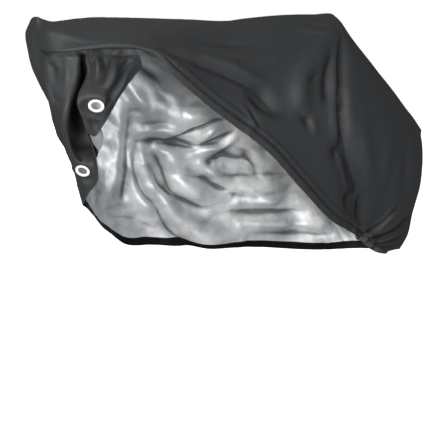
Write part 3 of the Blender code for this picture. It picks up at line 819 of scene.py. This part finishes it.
farSide = {
    "spacing": 0.0062,
    "rows": 136,
    "hemRows": 6,
    "shares": (0.0, 0.09, 0.25, 0.60, 1.0),
    # ridge, brow, shoulder, belly and edge, x y z each
    "sections": [
        ((-778, 0, 17), (-782, 38, 3), (-788, 42, -110), (-704, 38, -340), (-637, 60, -592)),
        ((-766, 0, 12), (-775, 86, -6), (-777, 94, -102), (-684, 75, -335), (-610, 87, -614)),
        ((-735, 0, 4), (-760, 120, -20), (-752, 144, -102), (-673, 131, -352), (-567, 135, -655)),
        ((-690, 0, 5), (-702, 108, -8), (-700, 208, -90), (-640, 202, -375), (-520, 185, -705)),
        ((-645, 0, 11), (-648, 116, -10), (-640, 252, -85), (-580, 262, -392), (-455, 240, -765)),
        ((-560, 0, 14), (-560, 120, -10), (-550, 286, -90), (-490, 310, -420), (-370, 290, -834)),
        ((-437, 0, 10), (-438, 115, -12), (-430, 276, -105), (-370, 325, -440), (-253, 305, -862)),
        ((-250, 0, 3), (-252, 95, -18), (-245, 225, -120), (-200, 305, -470), (-114, 310, -892)),
        ((-100, 0, -3), (-98, 80, -28), (-80, 180, -130), (-30, 285, -490), (74, 300, -924)),
        ((80, 0, 11), (85, 70, -20), (100, 146, -130), (150, 255, -500), (267, 280, -955)),
        ((285, 0, 14), (272, 70, -16), (285, 125, -130), (330, 225, -510), (420, 250, -982)),
        ((388, 0, 10), (388, 70, -24), (398, 122, -150), (440, 205, -530), (510, 230, -994)),
        ((408, 0, -12), (424, 74, -60), (440, 124, -185), (485, 200, -550), (550, 215, -998)),
        ((529, 0, -130), (534, 80, -175), (550, 126, -290), (580, 185, -600), (610, 190, -1000)),
        ((645, 0, -235), (650, 80, -282), (665, 120, -385), (685, 165, -640), (665, 155, -998)),
        ((770, 0, -342), (772, 68, -390), (782, 100, -470), (792, 120, -680), (715, 105, -994)),
        ((850, 0, -410), (852, 45, -450), (856, 66, -530), (856, 72, -710), (765, 50, -990)),
    ],
    "folds": [
        (40, (-240, -410, 14), (-180, -630, 18)),
        (40, (-180, -630, 18), (-20, -790, 6)),
        (45, (-330, -470, -12), (-270, -710, -18)),
        (45, (-120, -460, 20), (250, -530, 12)),
        (45, (-190, -320, -18), (40, -430, -10)),
        (40, (-80, -850, -14), (240, -870, -14)),
        (50, (300, -240, 16), (420, -890, 20)),
    ],
    "calm": 0.14,
    "calmShare": 0.112,
    # width, lean, sharpness, then x z depth at each point.  Out is away from the bicycle.
    "creases": [
        # deep fold that curls round the large front billow
        (15, 0.2, 1.4, (-228, -470, 5), (-207, -526, 20), (-189, -576, 28), (-153, -658, 32),
         (-110, -690, 31), (-68, -711, 28), (-35, -734, 24), (0, -750, 15), (40, -748, 4)),
        (40, 0, 2, (-172, -510, -18), (-128, -590, -38), (-63, -650, -38), (3, -690, -14)),
        # lower billow that swings out over the hem
        (14, 0, 1.3, (-286, -446, 5), (-289, -523, 16), (-288, -588, 26), (-272, -642, 35),
         (-222, -715, 38), (-165, -805, 35), (-95, -872, 25), (-20, -915, 7)),
        (36, 0, 2, (-250, -550, -11), (-238, -650, -32), (-175, -740, -42), (-85, -815, -45),
         (10, -880, -38), (150, -905, -14)),
        (32, 0, 2, (-345, -660, 11), (-300, -764, 28), (-215, -850, 11)),
        (9, 0, 1.6, (-262, -470, -3), (-250, -560, -8), (-252, -640, -3)),
        # shelf: the cloth folds over on itself under the handlebar
        (18, 0, 1.8, (-270, -415, -11), (-170, -405, -32), (-80, -420, -11)),
        (18, 0, 1.5, (-275, -446, 11), (-193, -462, 35), (-105, -478, 35), (-40, -505, 11)),
        (30, 0, 2, (-155, -370, -11), (-75, -358, -28), (10, -370, -9)),
        (7, 0, 1.5, (-130, -325, 1), (-126, -352, 8), (-119, -382, 1)),
        (13, 0, 1.4, (-115, -430, 14), (-50, -414, 32), (10, -386, 28), (65, -388, 5)),
        # crossed folds behind the frame
        (13, 0, 1.7, (-40, -475, -7), (-20, -430, -23), (8, -408, -23), (52, -404, -5)),
        (12, 0, 1.7, (-22, -498, 7), (36, -463, 21), (90, -430, 9)),
        (14, 0, 1.6, (-60, -512, -11), (6, -508, -30), (58, -494, -30), (108, -456, -7)),
        (16, 0, 1.4, (8, -562, 14), (46, -543, 35), (82, -534, 38), (135, -550, 32),
         (200, -562, 7)),
        (6, 0, 1.6, (28, -553, -10), (43, -597, -3)),
        (6, 0, 1.6, (45, -554, -10), (61, -602, -3)),
        (6, 0, 1.6, (63, -562, -10), (84, -608, -3)),
        (16, 0, 1.6, (-20, -563, -11), (41, -616, -32), (112, -664, -9)),
        (18, 0, 1.6, (0, -632, 9), (79, -684, 32), (165, -718, 9)),
        (18, 0, 1.6, (125, -476, -7), (198, -518, -28), (256, -574, -9)),
        (16, 0, 1.5, (150, -505, 5), (215, -580, 25), (245, -650, 5)),
        # long folds towards the rear wheel
        (18, 0, 1.6, (164, -756, -7), (301, -749, -25), (405, -745, -7)),
        (16, 0, 1.5, (140, -788, 7), (303, -802, 26), (468, -819, 7)),
        (18, 0, 1.7, (161, -828, -9), (350, -856, -25), (538, -880, -7)),
        (14, 0, 1.6, (205, -880, 5), (400, -908, 18), (590, -930, 5)),
        # hanging folds behind the front wheel, and pulls from the handlebar
        (30, 0, 1.8, (-354, -300, -7), (-368, -477, -28), (-403, -640, -9)),
        (18, 0, 1.5, (-320, -340, 7), (-330, -500, 28), (-362, -668, 7)),
        (20, 0, 1.6, (-430, -250, 5), (-452, -420, 21), (-470, -600, 7)),
        (20, 0, 1.6, (-330, -150, 7), (-245, -215, 25), (-180, -310, 7)),
        (22, 0, 1.7, (-280, -130, -7), (-190, -190, -23), (-100, -290, -7)),
        (18, 0, 1.6, (-335, -230, -5), (-290, -290, -21), (-240, -345, -5)),
    ],
    "wander": (0.0030, 0.18),
    "crumple": (0.0030, 0.18),
    "facets": ((0.0210, 0.170), (0.0050, 0.070)),     # height and size, large ones then small
    "facetSeeds": (90, 95),
    "smoothEdge": 0.20,      # the facets fade out this near the edges
    "facetHem": 0.030,       # but at the hem some of them is left
    "pucker": (0.0008, 0.024, 0.030),
    "seeds": (41, 51, 53),
    "hemStart": 0.0005,      # the hem's step lies this far over its crease
    "widest": 0.330,         # half width from which the folds' outward bulge gives way
    "give": 0.025,           # and how much further the furthest of them may still reach
}


def makeFarSide():
    p = farSide
    shares = crowded(p["rows"] + p["hemRows"])
    seams = [seamCurve(seam, shares) for seam in (frontSeam, rearSeam)]
    grid, _, places = loftSide(p, *seams, shares)
    # the hem's rows keep its width all along the edge
    length = down(grid)[:, -1:] - cloth["hemWidth"]
    hem = length + cloth["hemWidth"] * np.arange(1, p["hemRows"] + 1) / p["hemRows"]
    grid = respaced(grid, np.concatenate([length * crowded(p["rows"]), hem], axis=1))
    gone = down(grid)
    ends = np.minimum(places, places[-1] - places)[:, None]
    fromSeam = np.minimum(gone, ends)
    grid = foldSide(grid, p, 1, ends, gone / gone[:, -1:])
    normals = gridNormals(grid, 1)
    push = relief(grid, normals, p, ease(fromSeam / cloth["seamHold"]), placeInSideView)
    hemGap = gone[:, -1:] - gone
    faded = ease(np.minimum(fromSeam, hemGap + p["facetHem"]) / p["smoothEdge"])
    for seed, (height, size) in zip(p["facetSeeds"], p["facets"]):
        push += height * facets(seed, along(grid), gone, size) * faded
    fade = ease(fromSeam / cloth["puckerStart"])
    for seed, away in zip(p["seeds"][1:], (fromSeam, np.abs(hemGap - cloth["hemWidth"]))):
        push += puckers(along(grid), away, p, seed) * fade
    push += seamDip(fromSeam)
    grid = grid + push[..., None] * normals
    # the folds bulge out no further than the handlebar pushes the cloth
    over = np.maximum(grid[..., 1] - p["widest"], 0)
    grid[..., 1] += p["give"] * np.tanh(over / p["give"]) - over
    # the turned-in hem starts with a clear step
    thick = cloth["thickness"] + cloth["hemLayers"] * (hemGap < cloth["hemWidth"] + p["hemStart"])
    return finishSheet("far_side_cloth", grid, 1, thick, hemGap - p["hemStart"], fromSeam,
                       clothFinishes)


farCloth, farGrid, farNormals = makeFarSide()
print("far side:", len(farCloth.data.polygons), "faces")


# nose, pleat and hooked-up flap, in one piece
frontCorner = {
    "spacing": 0.0032,
    "rows": 17,              # rows of the shape that the solid has; refined below
    "fineRows": 5,           # finer rows for each of those
    "bandRowsBack": 3,       # rows of the band's return between its end and the hanging line
    "belowFold": 0.0085,     # how far the corner hangs straight down before it comes out
    "pleatDrop": -0.0042,    # how much lower than that it starts at the nose seam
    "pleatInset": 0.0004,    # it starts this far behind the band there
    "pleatFade": 0.030,      # and comes level with it over this drop
    "shares": (0.0, 0.25, 0.50, 0.75, 1.0),
    # x at which it leaves the band, then top, upper, middle, lower and edge, x y z each
    "sections": [
        (-770, (-779, -66, -98), (-785, -68, -180), (-757, -64, -290), (-708, -30, -415),
         (-664, -22, -552)),
        (-735, (-720, -132, -96), (-731, -137, -180), (-757, -113, -280), (-724, -80, -395),
         (-664, -52, -526)),
        (-712, (-690, -112, -98), (-680, -84, -180), (-696, -74, -280), (-682, -84, -380),
         (-658, -100, -480)),
        (-695, (-697, -146, -96), (-700, -158, -155), (-722, -180, -228), (-712, -164, -295),
         (-690, -156, -375)),
        (-684, (-702, -172, -96), (-716, -190, -140), (-768, -232, -204), (-752, -222, -252),
         (-728, -198, -308)),
        (-660, (-682, -183, -94), (-694, -208, -132), (-719, -249, -194), (-709, -226, -258),
         (-705, -200, -320)),
        (-626, (-646, -193, -92), (-661, -223, -121), (-681, -250, -168), (-688, -246, -225),
         (-686, -228, -281)),
        (-592, (-600, -199, -90), (-610, -218, -107), (-620, -232, -137), (-628, -238, -167),
         (-632, -238, -197)),
        (-560, (-556, -205, -90), (-553, -208, -98), (-551, -209, -104), (-549, -210, -114),
         (-548, -210, -125)),
    ],
    "seamHold": 0.012,       # the nose seam and the band hold its creases down this far
    "topHold": 0.032,
    "topPuckers": 0.05,      # drop over which the nose seam's puckers start
    "topDip": 0.03,          # and its dip
    "edgeStep": 4,           # every so many points of the edge tell how far away it is
    "flatReach": 0.029,      # cloth lies flat this far from an eyelet's centre
    "blendReach": 0.052,
    # width, lean, sharpness, then section, share down it and depth at each point
    "creases": [
        # nose: pinched under the band, then hanging in long soft folds
        (8, 0, 1.8, (0.2, 0.03, -3), (0.8, 0.02, -4), (1.3, 0.035, -1)),
        (9, 0, 1.8, (0.8, 0, 4), (1.15, 0.03, 8), (1.5, 0.08, 1)),
        (11, 0, 1.8, (1.05, 0.04, -7), (1.2, 0.11, -10), (1.3, 0.23, -2)),
        (9, 0, 1.8, (1.62, 0.01, 3), (1.66, 0.16, 7), (1.6, 0.3, 1)),
        (6, 0, 1.6, (1, 0.33, -1), (1.36, 0.362, -4), (1.75, 0.372, -1)),
        (8, 0, 1.8, (0.6, 0.14, 1), (0.9, 0.31, 5), (0.8, 0.52, 1)),
        (12, 0, 2, (1.9, 0.33, 1), (2, 0.45, 6), (2.05, 0.58, 1)),
        # valley between nose and flap
        (14, 0, 2, (2.75, 0, -6), (2.85, 0.18, -14), (2.85, 0.4, -16), (2.7, 0.62, -6)),
        (27, 0, 2, (2.82, 0.38, -10), (2.95, 0.52, -42), (3.08, 0.64, -62), (3.04, 0.74, -56),
         (2.94, 0.83, -8)),
        # flap: folds that run down from the hook to the eyelet
        (5, 0, 1.7, (4.65, -0.03, 4), (5.1, 0.125, 7), (5.5, 0.33, 1)),
        (6, 0, 1.6, (5.2, -0.03, -6), (5.55, 0.09, -10), (5.72, 0.29, -6), (5.88, 0.41, -1)),
        (9, 0, 1.8, (5.8, -0.03, 6), (6.1, 0.16, 14), (6.05, 0.31, 2)),
        (9, 0, 1.8, (6.6, -0.03, -8), (6.68, 0.175, -19), (6.42, 0.325, -14), (6.16, 0.42, -1)),
        (12, 0, 1.8, (7.3, 0.11, 5), (7.22, 0.35, 17), (7.05, 0.52, 4)),
        (6, 0, 1.7, (8.2, -0.05, -6), (7.75, -0.01, -10), (7.2, -0.01, -3)),
        (6, 0, 1.8, (7.95, -0.055, 4), (7.5, -0.035, 7), (6.95, -0.035, 1)),
        # groove along the inside of the hem
        (7.5, 0, 1.7, (8.45, 0.16, -4), (8.22, 0.34, -16), (7.85, 0.5, -22), (7.6, 0.64, -22),
         (7.2, 0.73, -15), (6.9, 0.76, -4)),
        (9, 0, 1.8, (8.6, 0.38, 2), (8.15, 0.54, 7), (7.92, 0.72, 8), (7.65, 0.84, 2)),
        # tip under the eyelet
        (7, 0, 1.8, (5.45, 0.74, 1), (5.85, 0.77, 5), (6.6, 0.82, 1)),
        (8, 0, 1.7, (5.35, 0.8, -3), (5.7, 0.83, -8), (6.1, 0.9, -3)),
    ],
    "wander": (0.0010, 0.05),
    "crumple": (0.0008, 0.05),
    "pucker": (0.0006, 0.018, 0.02),
    "seeds": (71, 81, 83),
}

eyelets = {
    # name: centre on the cloth's outer face, direction that its front faces
    "flap_eyelet": ((-0.718, -0.245, -0.225), (-0.46, -0.72, -0.53)),
    "nose_eyelet": ((-0.690, -0.068, -0.448), (-0.60, -0.62, -0.50)),
}


def flattenAtEyelets(grid):
    p = frontCorner
    for centre, outward in eyelets.values():
        axis = unit(np.array(outward))
        offset = grid - np.array(centre)
        height = offset @ axis
        radius = np.linalg.norm(offset - height[..., None] * axis, axis=-1)
        share = ease((p["blendReach"] - radius) / (p["blendReach"] - p["flatReach"]))
        share = share * (np.abs(height) < p["flatReach"])
        grid = grid - (share * height)[..., None] * axis
    return grid


def makeCornerGrid(band, bandNormals):
    p = frontCorner
    rows = np.linspace(0, 1, p["rows"])
    frontRun = runAlong(frontSeam)
    start = frontRun[bandKnot] + p["belowFold"] + p["pleatDrop"]
    drop = start + (frontRun[-1] - start) * rows
    seam = seamCurve(frontSeam, drop / frontRun[-1])
    seam[:, 0] += p["pleatInset"] * np.exp(-(drop - frontRun[bandKnot]) / p["pleatFade"])
    between = [through(p["shares"], metres(row[1:]), rows) for row in p["sections"]]
    grid, run, places = loft([seam, *between], p["rows"] // 2, p["spacing"], ("first",))
    # hang each column from the straight end of the band's return, just inside it
    starts = [band[0, -1, 0], *metres([row[0] for row in p["sections"]])]
    counted = np.arange(len(band))
    columns = np.interp(np.interp(places, run, starts), band[:, -1, 0], counted)
    hung = []
    for row in (-1, -1 - p["bandRowsBack"]):
        inside = band[:, row] + cloth["layerGap"] * bandNormals[:, row]
        hung.append(np.stack([np.interp(columns, counted, axis) for axis in inside.T], axis=1))
    hung.append(hung[1] + p["belowFold"] * unit(hung[1] - hung[0]))
    grid = np.concatenate([np.stack(hung, axis=1), grid], axis=1)
    # refine the rows smoothly
    coarse = np.arange(grid.shape[1])
    fine = np.linspace(0, coarse[-1], coarse[-1] * p["fineRows"] + 1)
    grid = through(coarse, grid.transpose(1, 0, 2), fine).transpose(1, 0, 2)
    sections = np.interp(places, run, np.arange(len(run)))
    shares = (fine - len(hung)) / (coarse[-1] - len(hung))
    return grid, sections, shares


def makeFrontCorner():
    p = frontCorner
    grid, sections, shares = makeCornerGrid(nearGrid, nearNormals)

    def placeInSections(_, points):
        return np.stack([np.interp(want, have, np.arange(len(have)))
                         for want, have in zip(points.T, (sections, shares))], axis=1)

    normals = gridNormals(grid, -1)
    gone = down(grid)
    hemGap = awayFrom(grid[:, -1][::p["edgeStep"]], grid)
    fromSeam = along(grid)
    held = ease(fromSeam / p["seamHold"]) * ease(gone / p["topHold"])
    push = relief(grid, normals, p, held, placeInSections)
    fade = ease(gone / p["topPuckers"]) * ease(fromSeam / cloth["puckerStart"])
    push += puckers(gone, fromSeam, p, p["seeds"][1]) * fade
    push += puckers(along(grid), np.abs(hemGap - cloth["hemWidth"]), p, p["seeds"][2]) * held
    push += seamDip(fromSeam) * ease(gone / p["topDip"])
    grid = grid + push[..., None] * normals
    grid[1:] = flattenAtEyelets(grid[1:])
    return finishSheet("front_corner_cloth", grid, -1, hemThickness(hemGap), hemGap, fromSeam,
                       clothFinishes, sideEdges[:1])[0]


cornerCloth = makeFrontCorner()
print("front corner:", len(cornerCloth.data.polygons), "faces")


eyelet = {
    # radius and height over the cloth's middle, once round the ring's section from inside the hole
    "profile": [
        (14.5, 2.13), (15.7, 3.2), (18.1, 4.0), (19.65, 3.8), (22.25, 2.8), (23.25, 1.6),
        (22.85, 0.6), (16.5, 0.5), (16.5, -0.5), (21.6, -0.6), (22.0, -1.4), (20.8, -2.4),
        (17.5, -2.8), (15.3, -2.0), (14.5, -0.8), (14.5, 0.0),
    ],
    "sides": 64,
    "merge": 0.00001,        # points this close are one
    "cut": 0.0168,           # radius cut out of the cloth for the neck
    "cutDepth": 0.03,
    "colour": "f1f1ef",
    "aged": "e4e3dd",
    "stains": {"Scale": 90.0, "Detail": 4.0, "Roughness": 0.6},     # 11 mm apart
    "stainRange": (0.45, 0.75, 0.6),     # noise at which they start and are full, and how strong
    "gloss": {"Scale": 400.0},           # 2.5 mm
    "roughness": (0.22, 0.34),
    "grain": {"Scale": 900.0},           # 1.1 mm
    "grainHeight": 0.00003,
}


def makeEyeletFinish(name, p):
    # moulded polypropylene: white, glossy, with the faint unevenness of a moulded face
    material, tree, shader = newFinish(name)
    spot = addNode(tree, "TexCoord", {}, "Object")
    stains, gloss, grain = (addNode(tree, "TexNoise", {"Vector": spot, **p[key]})
                            for key in ("stains", "gloss", "grain"))
    start, full, strength = p["stainRange"]
    aged = addNode(tree, "MapRange", {0: stains, 1: start, 2: full, 3: 0.0, 4: strength})
    tones = {0: aged, 6: colour(p["colour"]), 7: colour(p["aged"])}
    low, high = p["roughness"]
    plug(tree, shader, {
        "Base Color": addNode(tree, "Mix", tones, 2, data_type="RGBA"), "IOR": 1.49,
        "Roughness": addNode(tree, "MapRange", {0: gloss, **middling, 3: low, 4: high}),
        "Normal": addNode(tree, "Bump", {"Height": grain, "Distance": p["grainHeight"]})})
    return material


def startMesh():
    if bpy.context.object and bpy.context.object.mode != "OBJECT":
        bpy.ops.object.mode_set(mode="OBJECT")
    bpy.ops.object.select_all(action="DESELECT")


def makeEyelet(name, centre, outward, finish):
    # turned from a circle: each step draws the edge out to a new radius and height
    profile = metres(eyelet["profile"])
    radius, height = profile[-1]
    startMesh()
    bpy.ops.mesh.primitive_circle_add(vertices=eyelet["sides"], radius=radius, fill_type="NOTHING")
    ring = bpy.context.object
    ring.name = name
    bpy.ops.object.mode_set(mode="EDIT")
    bpy.ops.mesh.select_mode(type="EDGE")
    bpy.ops.mesh.select_all(action="SELECT")
    for newRadius, newHeight in profile:
        bpy.ops.mesh.extrude_edges_move(TRANSFORM_OT_translate={"value": (0, 0, newHeight - height)})
        share = newRadius / radius
        bpy.ops.transform.resize(value=(share, share, 1))
        radius, height = newRadius, newHeight
    bpy.ops.mesh.select_all(action="SELECT")
    bpy.ops.mesh.remove_doubles(threshold=eyelet["merge"])
    bpy.ops.mesh.normals_make_consistent(inside=False)
    bpy.ops.object.mode_set(mode="OBJECT")
    smooth = ring.modifiers.new("Round", "SUBSURF")
    smooth.levels = smooth.render_levels = 1
    bpy.ops.object.modifier_apply(modifier=smooth.name)
    bpy.ops.object.shade_smooth()
    ring.data.materials.append(finish)
    axis = Vector(outward).normalized()
    middle = Vector(centre) - axis * cloth["thickness"] / 2
    ring.data.transform(Matrix.Translation(middle) @ axis.to_track_quat("Z", "Y").to_matrix().to_4x4())
    return ring


def punchCloth(sheet, centre, outward):
    # round hole that the eyelet's neck passes through
    startMesh()
    turn = Vector(outward).to_track_quat("Z", "Y").to_euler()
    bpy.ops.mesh.primitive_cylinder_add(vertices=eyelet["sides"], depth=eyelet["cutDepth"],
                                        radius=eyelet["cut"], location=centre, rotation=turn)
    punch = bpy.context.object
    bpy.context.view_layer.objects.active = sheet
    cut = sheet.modifiers.new("Eyelet hole", "BOOLEAN")
    cut.operation = "DIFFERENCE"
    cut.object = punch
    bpy.ops.object.modifier_apply(modifier=cut.name)
    bpy.data.objects.remove(punch)


eyeletFinish = makeEyeletFinish("moulded_polypropylene_white", eyelet)
rings = {}
for name, (centre, outward) in eyelets.items():
    punchCloth(cornerCloth, centre, outward)
    rings[name] = makeEyelet(name, centre, outward, eyeletFinish)
print("eyelets:", sorted(rings))


thread = {
    "radius": 0.00045,
    "stitch": 0.0045,        # length of one stitch
    "pitch": 0.0062,         # from one stitch to the next
    "sides": 5,
    # share along the stitch, thickness and height at each ring of points, its ends first and last
    "shape": [(0.0, 0.0, -0.6), (0.12, 0.8, 0.4), (0.5, 1.0, 1.0), (0.88, 0.8, 0.4), (1.0, 0.0, -0.6)],
    "proud": 0.00025,        # how far a stitch's middle stands over the cloth
    "feel": 0.001,           # its heading is read this far ahead and behind
    "nearFrom": -0.42,       # x at which the near hem comes out from under the band
    "colour": "4a4c50",
    "twist": "62646a",
    "fuzz": {"Scale": 1500.0},           # 0.7 mm
    "fuzzHeight": 0.0001,
    "roughness": (0.55, 0.75),
}


def makeThreadFinish(name, p):
    # spun polyester thread, a shade paler than the cloth, with its twist
    material, tree, shader = newFinish(name)
    spot = addNode(tree, "TexCoord", {}, "Object")
    fuzz = addNode(tree, "TexNoise", {"Vector": spot, **p["fuzz"]})
    tones = {0: fuzz, 6: colour(p["colour"]), 7: colour(p["twist"])}
    low, high = p["roughness"]
    plug(tree, shader, {
        "Base Color": addNode(tree, "Mix", tones, 2, data_type="RGBA"),
        "Normal": addNode(tree, "Bump", {"Height": fuzz, "Distance": p["fuzzHeight"]}),
        "Roughness": addNode(tree, "MapRange", {0: fuzz, **middling, 3: low, 4: high})})
    return material


def stitchRow(points, normals):
    # one stitch after another along a line on the cloth, each a small rounded bar
    p = thread
    run = runAlong(points)

    def at(distance, values):
        return np.array([np.interp(distance, run, values[:, k]) for k in range(3)])

    starts = np.arange(int(run[-1] / p["pitch"])) * p["pitch"] + 0.5 * (p["pitch"] - p["stitch"])
    around = 2 * math.pi * np.arange(p["sides"]) / p["sides"]
    sides, rings = p["sides"], len(p["shape"]) - 2
    verts, faces = [], []
    for start in starts:
        base = len(verts)
        for share, wide, lift in p["shape"]:
            here = start + share * p["stitch"]
            facing = unit(at(here, normals))
            ahead = at(here + p["feel"], points) - at(here - p["feel"], points)
            across = unit(np.cross(facing, unit(ahead)))
            middle = at(here, points) + facing * p["proud"] * lift
            if wide == 0:
                verts.append(middle)
                continue
            for angle in around:
                reach = math.cos(angle) * across + math.sin(angle) * facing
                verts.append(middle + p["radius"] * wide * reach)
        for k in range(sides):
            after = (k + 1) % sides
            faces.append((base, base + 1 + after, base + 1 + k))
            for ring in range(rings - 1):
                a = base + 1 + ring * sides
                faces.append((a + k, a + after, a + sides + after, a + sides + k))
            last = base + 1 + (rings - 1) * sides
            faces.append((last + k, last + after, last + sides))
    return verts, faces


def makeThread(name, grid, normals, finish, nearest=-math.inf):
    # along the hem's stitched line, from this x back
    gone = down(grid)
    rows = np.arange(grid.shape[1])
    places = np.array([(column, np.interp(outerCloth["stitchFromEdge"], gap[::-1], rows[::-1]))
                       for column, gap in enumerate(gone[:, -1:] - gone)])
    points = readGrid(grid, places)
    free = points[:, 0] > nearest
    verts, faces = stitchRow(points[free], readGrid(normals, places)[free])
    mesh = bpy.data.meshes.new(name)
    mesh.from_pydata([tuple(v) for v in verts], [], faces)
    bm = bmesh.new()
    bm.from_mesh(mesh)
    bmesh.ops.recalc_face_normals(bm, faces=bm.faces)
    bm.to_mesh(mesh)
    bm.free()
    mesh.shade_smooth()
    mesh.materials.append(finish)
    return newObject(name, mesh)


threadFinish = makeThreadFinish("spun_polyester_thread", thread)
threads = {
    "near_hem_thread": makeThread("near_hem_thread", nearGrid, nearNormals, threadFinish,
                                  thread["nearFrom"]),
    "far_hem_thread": makeThread("far_hem_thread", farGrid, farNormals, threadFinish),
}
print("threads:", {name: len(thing.data.polygons) for name, thing in threads.items()})


def placeOnFrame():
    sheets = (
        # piece, node, slot, flat size, flat area, what goes with it
        (nearCloth, "near_side_panel", "near_cloth", (1.95, 0.90), 1.00, ["near_hem_thread"]),
        (farCloth, "far_side_panel", "far_cloth", (1.95, 1.05), 1.72, ["far_hem_thread"]),
        (cornerCloth, "near_front_corner", "corner_cloth", (0.50, 0.46), 0.15, list(rings)),
    )
    for piece, node, slot, flat, area, company in sheets:
        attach(piece, "root")
        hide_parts(node)
    for name, node in (("flap_eyelet", "eyelet_flap"), ("nose_eyelet", "eyelet_nose")):
        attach(rings[name], "root")
        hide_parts(node)
    for name, slot in (("near_hem_thread", "near_cloth"), ("far_hem_thread", "far_cloth")):
        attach(threads[name], "root")


studio = {
    "floor": -1.09,
    "floorSize": 400.0,
    "floorColour": "fafafa",
    "floorShade": "f7f7f7",
    "floorPatches": 3.0,     # scale of the shade's noise, 330 mm apart
    "floorRoughness": 0.9,
    "shadeShare": 0.3,
    "floorGlow": 0.93,       # so that it shows as white as paper
    "backdropRadius": 40.0,
    "backdropSides": 64,
    "white": "ffffff",
    "worldStrength": 0.14,
    # name: location, aimed at, size, power, colour
    "lights": {
        "front_key": ((-3.5, -2.5, 0.40), (-0.3, 0.0, -0.4), 1.8, 180.0, "fffdf8"),
        "low_fill": ((-1.20, -3.7, -0.25), (-0.1, 0.0, -0.5), 0.8, 72.0, "ffffff"),
        "top_soft": ((0.3, 1.2, 3.6), (0.0, 0.0, -0.5), 3.6, 18.0, "ffffff"),
        "back_fill": ((2.2, 4.6, -0.4), (0.0, 0.2, -0.5), 2.2, 170.0, "ffffff"),
    },
    "cameraAt": (-1.70, -2.33, 0.07),
    "cameraTurn": -34.0,
    "cameraTilt": 15.5,
    "lens": 65.45,
    "sensor": 36.0,
}


def asStage(name, finish):
    # lit white by itself; it throws no light on the cover
    thing = bpy.context.object
    thing.name = name
    thing.data.materials.append(finish)
    thing.visible_diffuse = False
    thing.visible_glossy = False
    return thing


def makeStudio():
    p = studio
    white = colour(p["white"])
    floorFinish, tree, shader = newFinish("studio_floor_white")
    spot = addNode(tree, "TexCoord", {}, "Object")
    grain = addNode(tree, "TexNoise", {"Vector": spot, "Scale": p["floorPatches"]})
    shade = addNode(tree, "MapRange", {0: grain, **middling, 3: 0.0, 4: p["shadeShare"]})
    tones = {0: shade, 6: colour(p["floorColour"]), 7: colour(p["floorShade"])}
    plug(tree, shader, {
        "Base Color": addNode(tree, "Mix", tones, 2, data_type="RGBA"), "Roughness": p["floorRoughness"],
        "Emission Color": white, "Emission Strength": p["floorGlow"]})
    startMesh()
    bpy.ops.mesh.primitive_plane_add(size=p["floorSize"], location=(0, 0, p["floor"]))
    floor = asStage("studio_floor", floorFinish)
    # backdrop all round
    backdropFinish, tree, shader = newFinish("studio_backdrop_white")
    plug(tree, shader, {"Base Color": colour("000000"), "Roughness": 1.0,
                        "Emission Color": white, "Emission Strength": 1.0})
    startMesh()
    bpy.ops.mesh.primitive_uv_sphere_add(segments=p["backdropSides"],
                                         ring_count=p["backdropSides"] // 2,
                                         radius=p["backdropRadius"])
    backdrop = asStage("studio_backdrop", backdropFinish)
    backdrop.visible_transmission = False
    backdrop.visible_shadow = False
    world = bpy.data.worlds.new("studio_world")
    world.use_nodes = True
    plug(world.node_tree, world.node_tree.nodes["Background"],
         {"Color": white, "Strength": p["worldStrength"]})
    bpy.context.scene.world = world
    for name, (place, target, size, power, tone) in p["lights"].items():
        light = bpy.data.lights.new(name, "AREA")
        light.size = size
        light.energy = power
        light.color = linear(tone)
        lamp = newObject(name, light)
        lamp.location = place
        lamp.rotation_euler = (Vector(target) - Vector(place)).to_track_quat("-Z", "Y").to_euler()
    lens = bpy.data.cameras.new("studio_camera")
    lens.lens = p["lens"]
    lens.sensor_width = p["sensor"]
    camera = newObject("studio_camera", lens)
    camera.location = p["cameraAt"]
    camera.rotation_euler = (math.radians(90 - p["cameraTilt"]), 0, math.radians(p["cameraTurn"]))
    bpy.context.scene.camera = camera
    bpy.context.scene.view_settings.view_transform = "Standard"


placeOnFrame()
makeStudio()
print("studio ready")
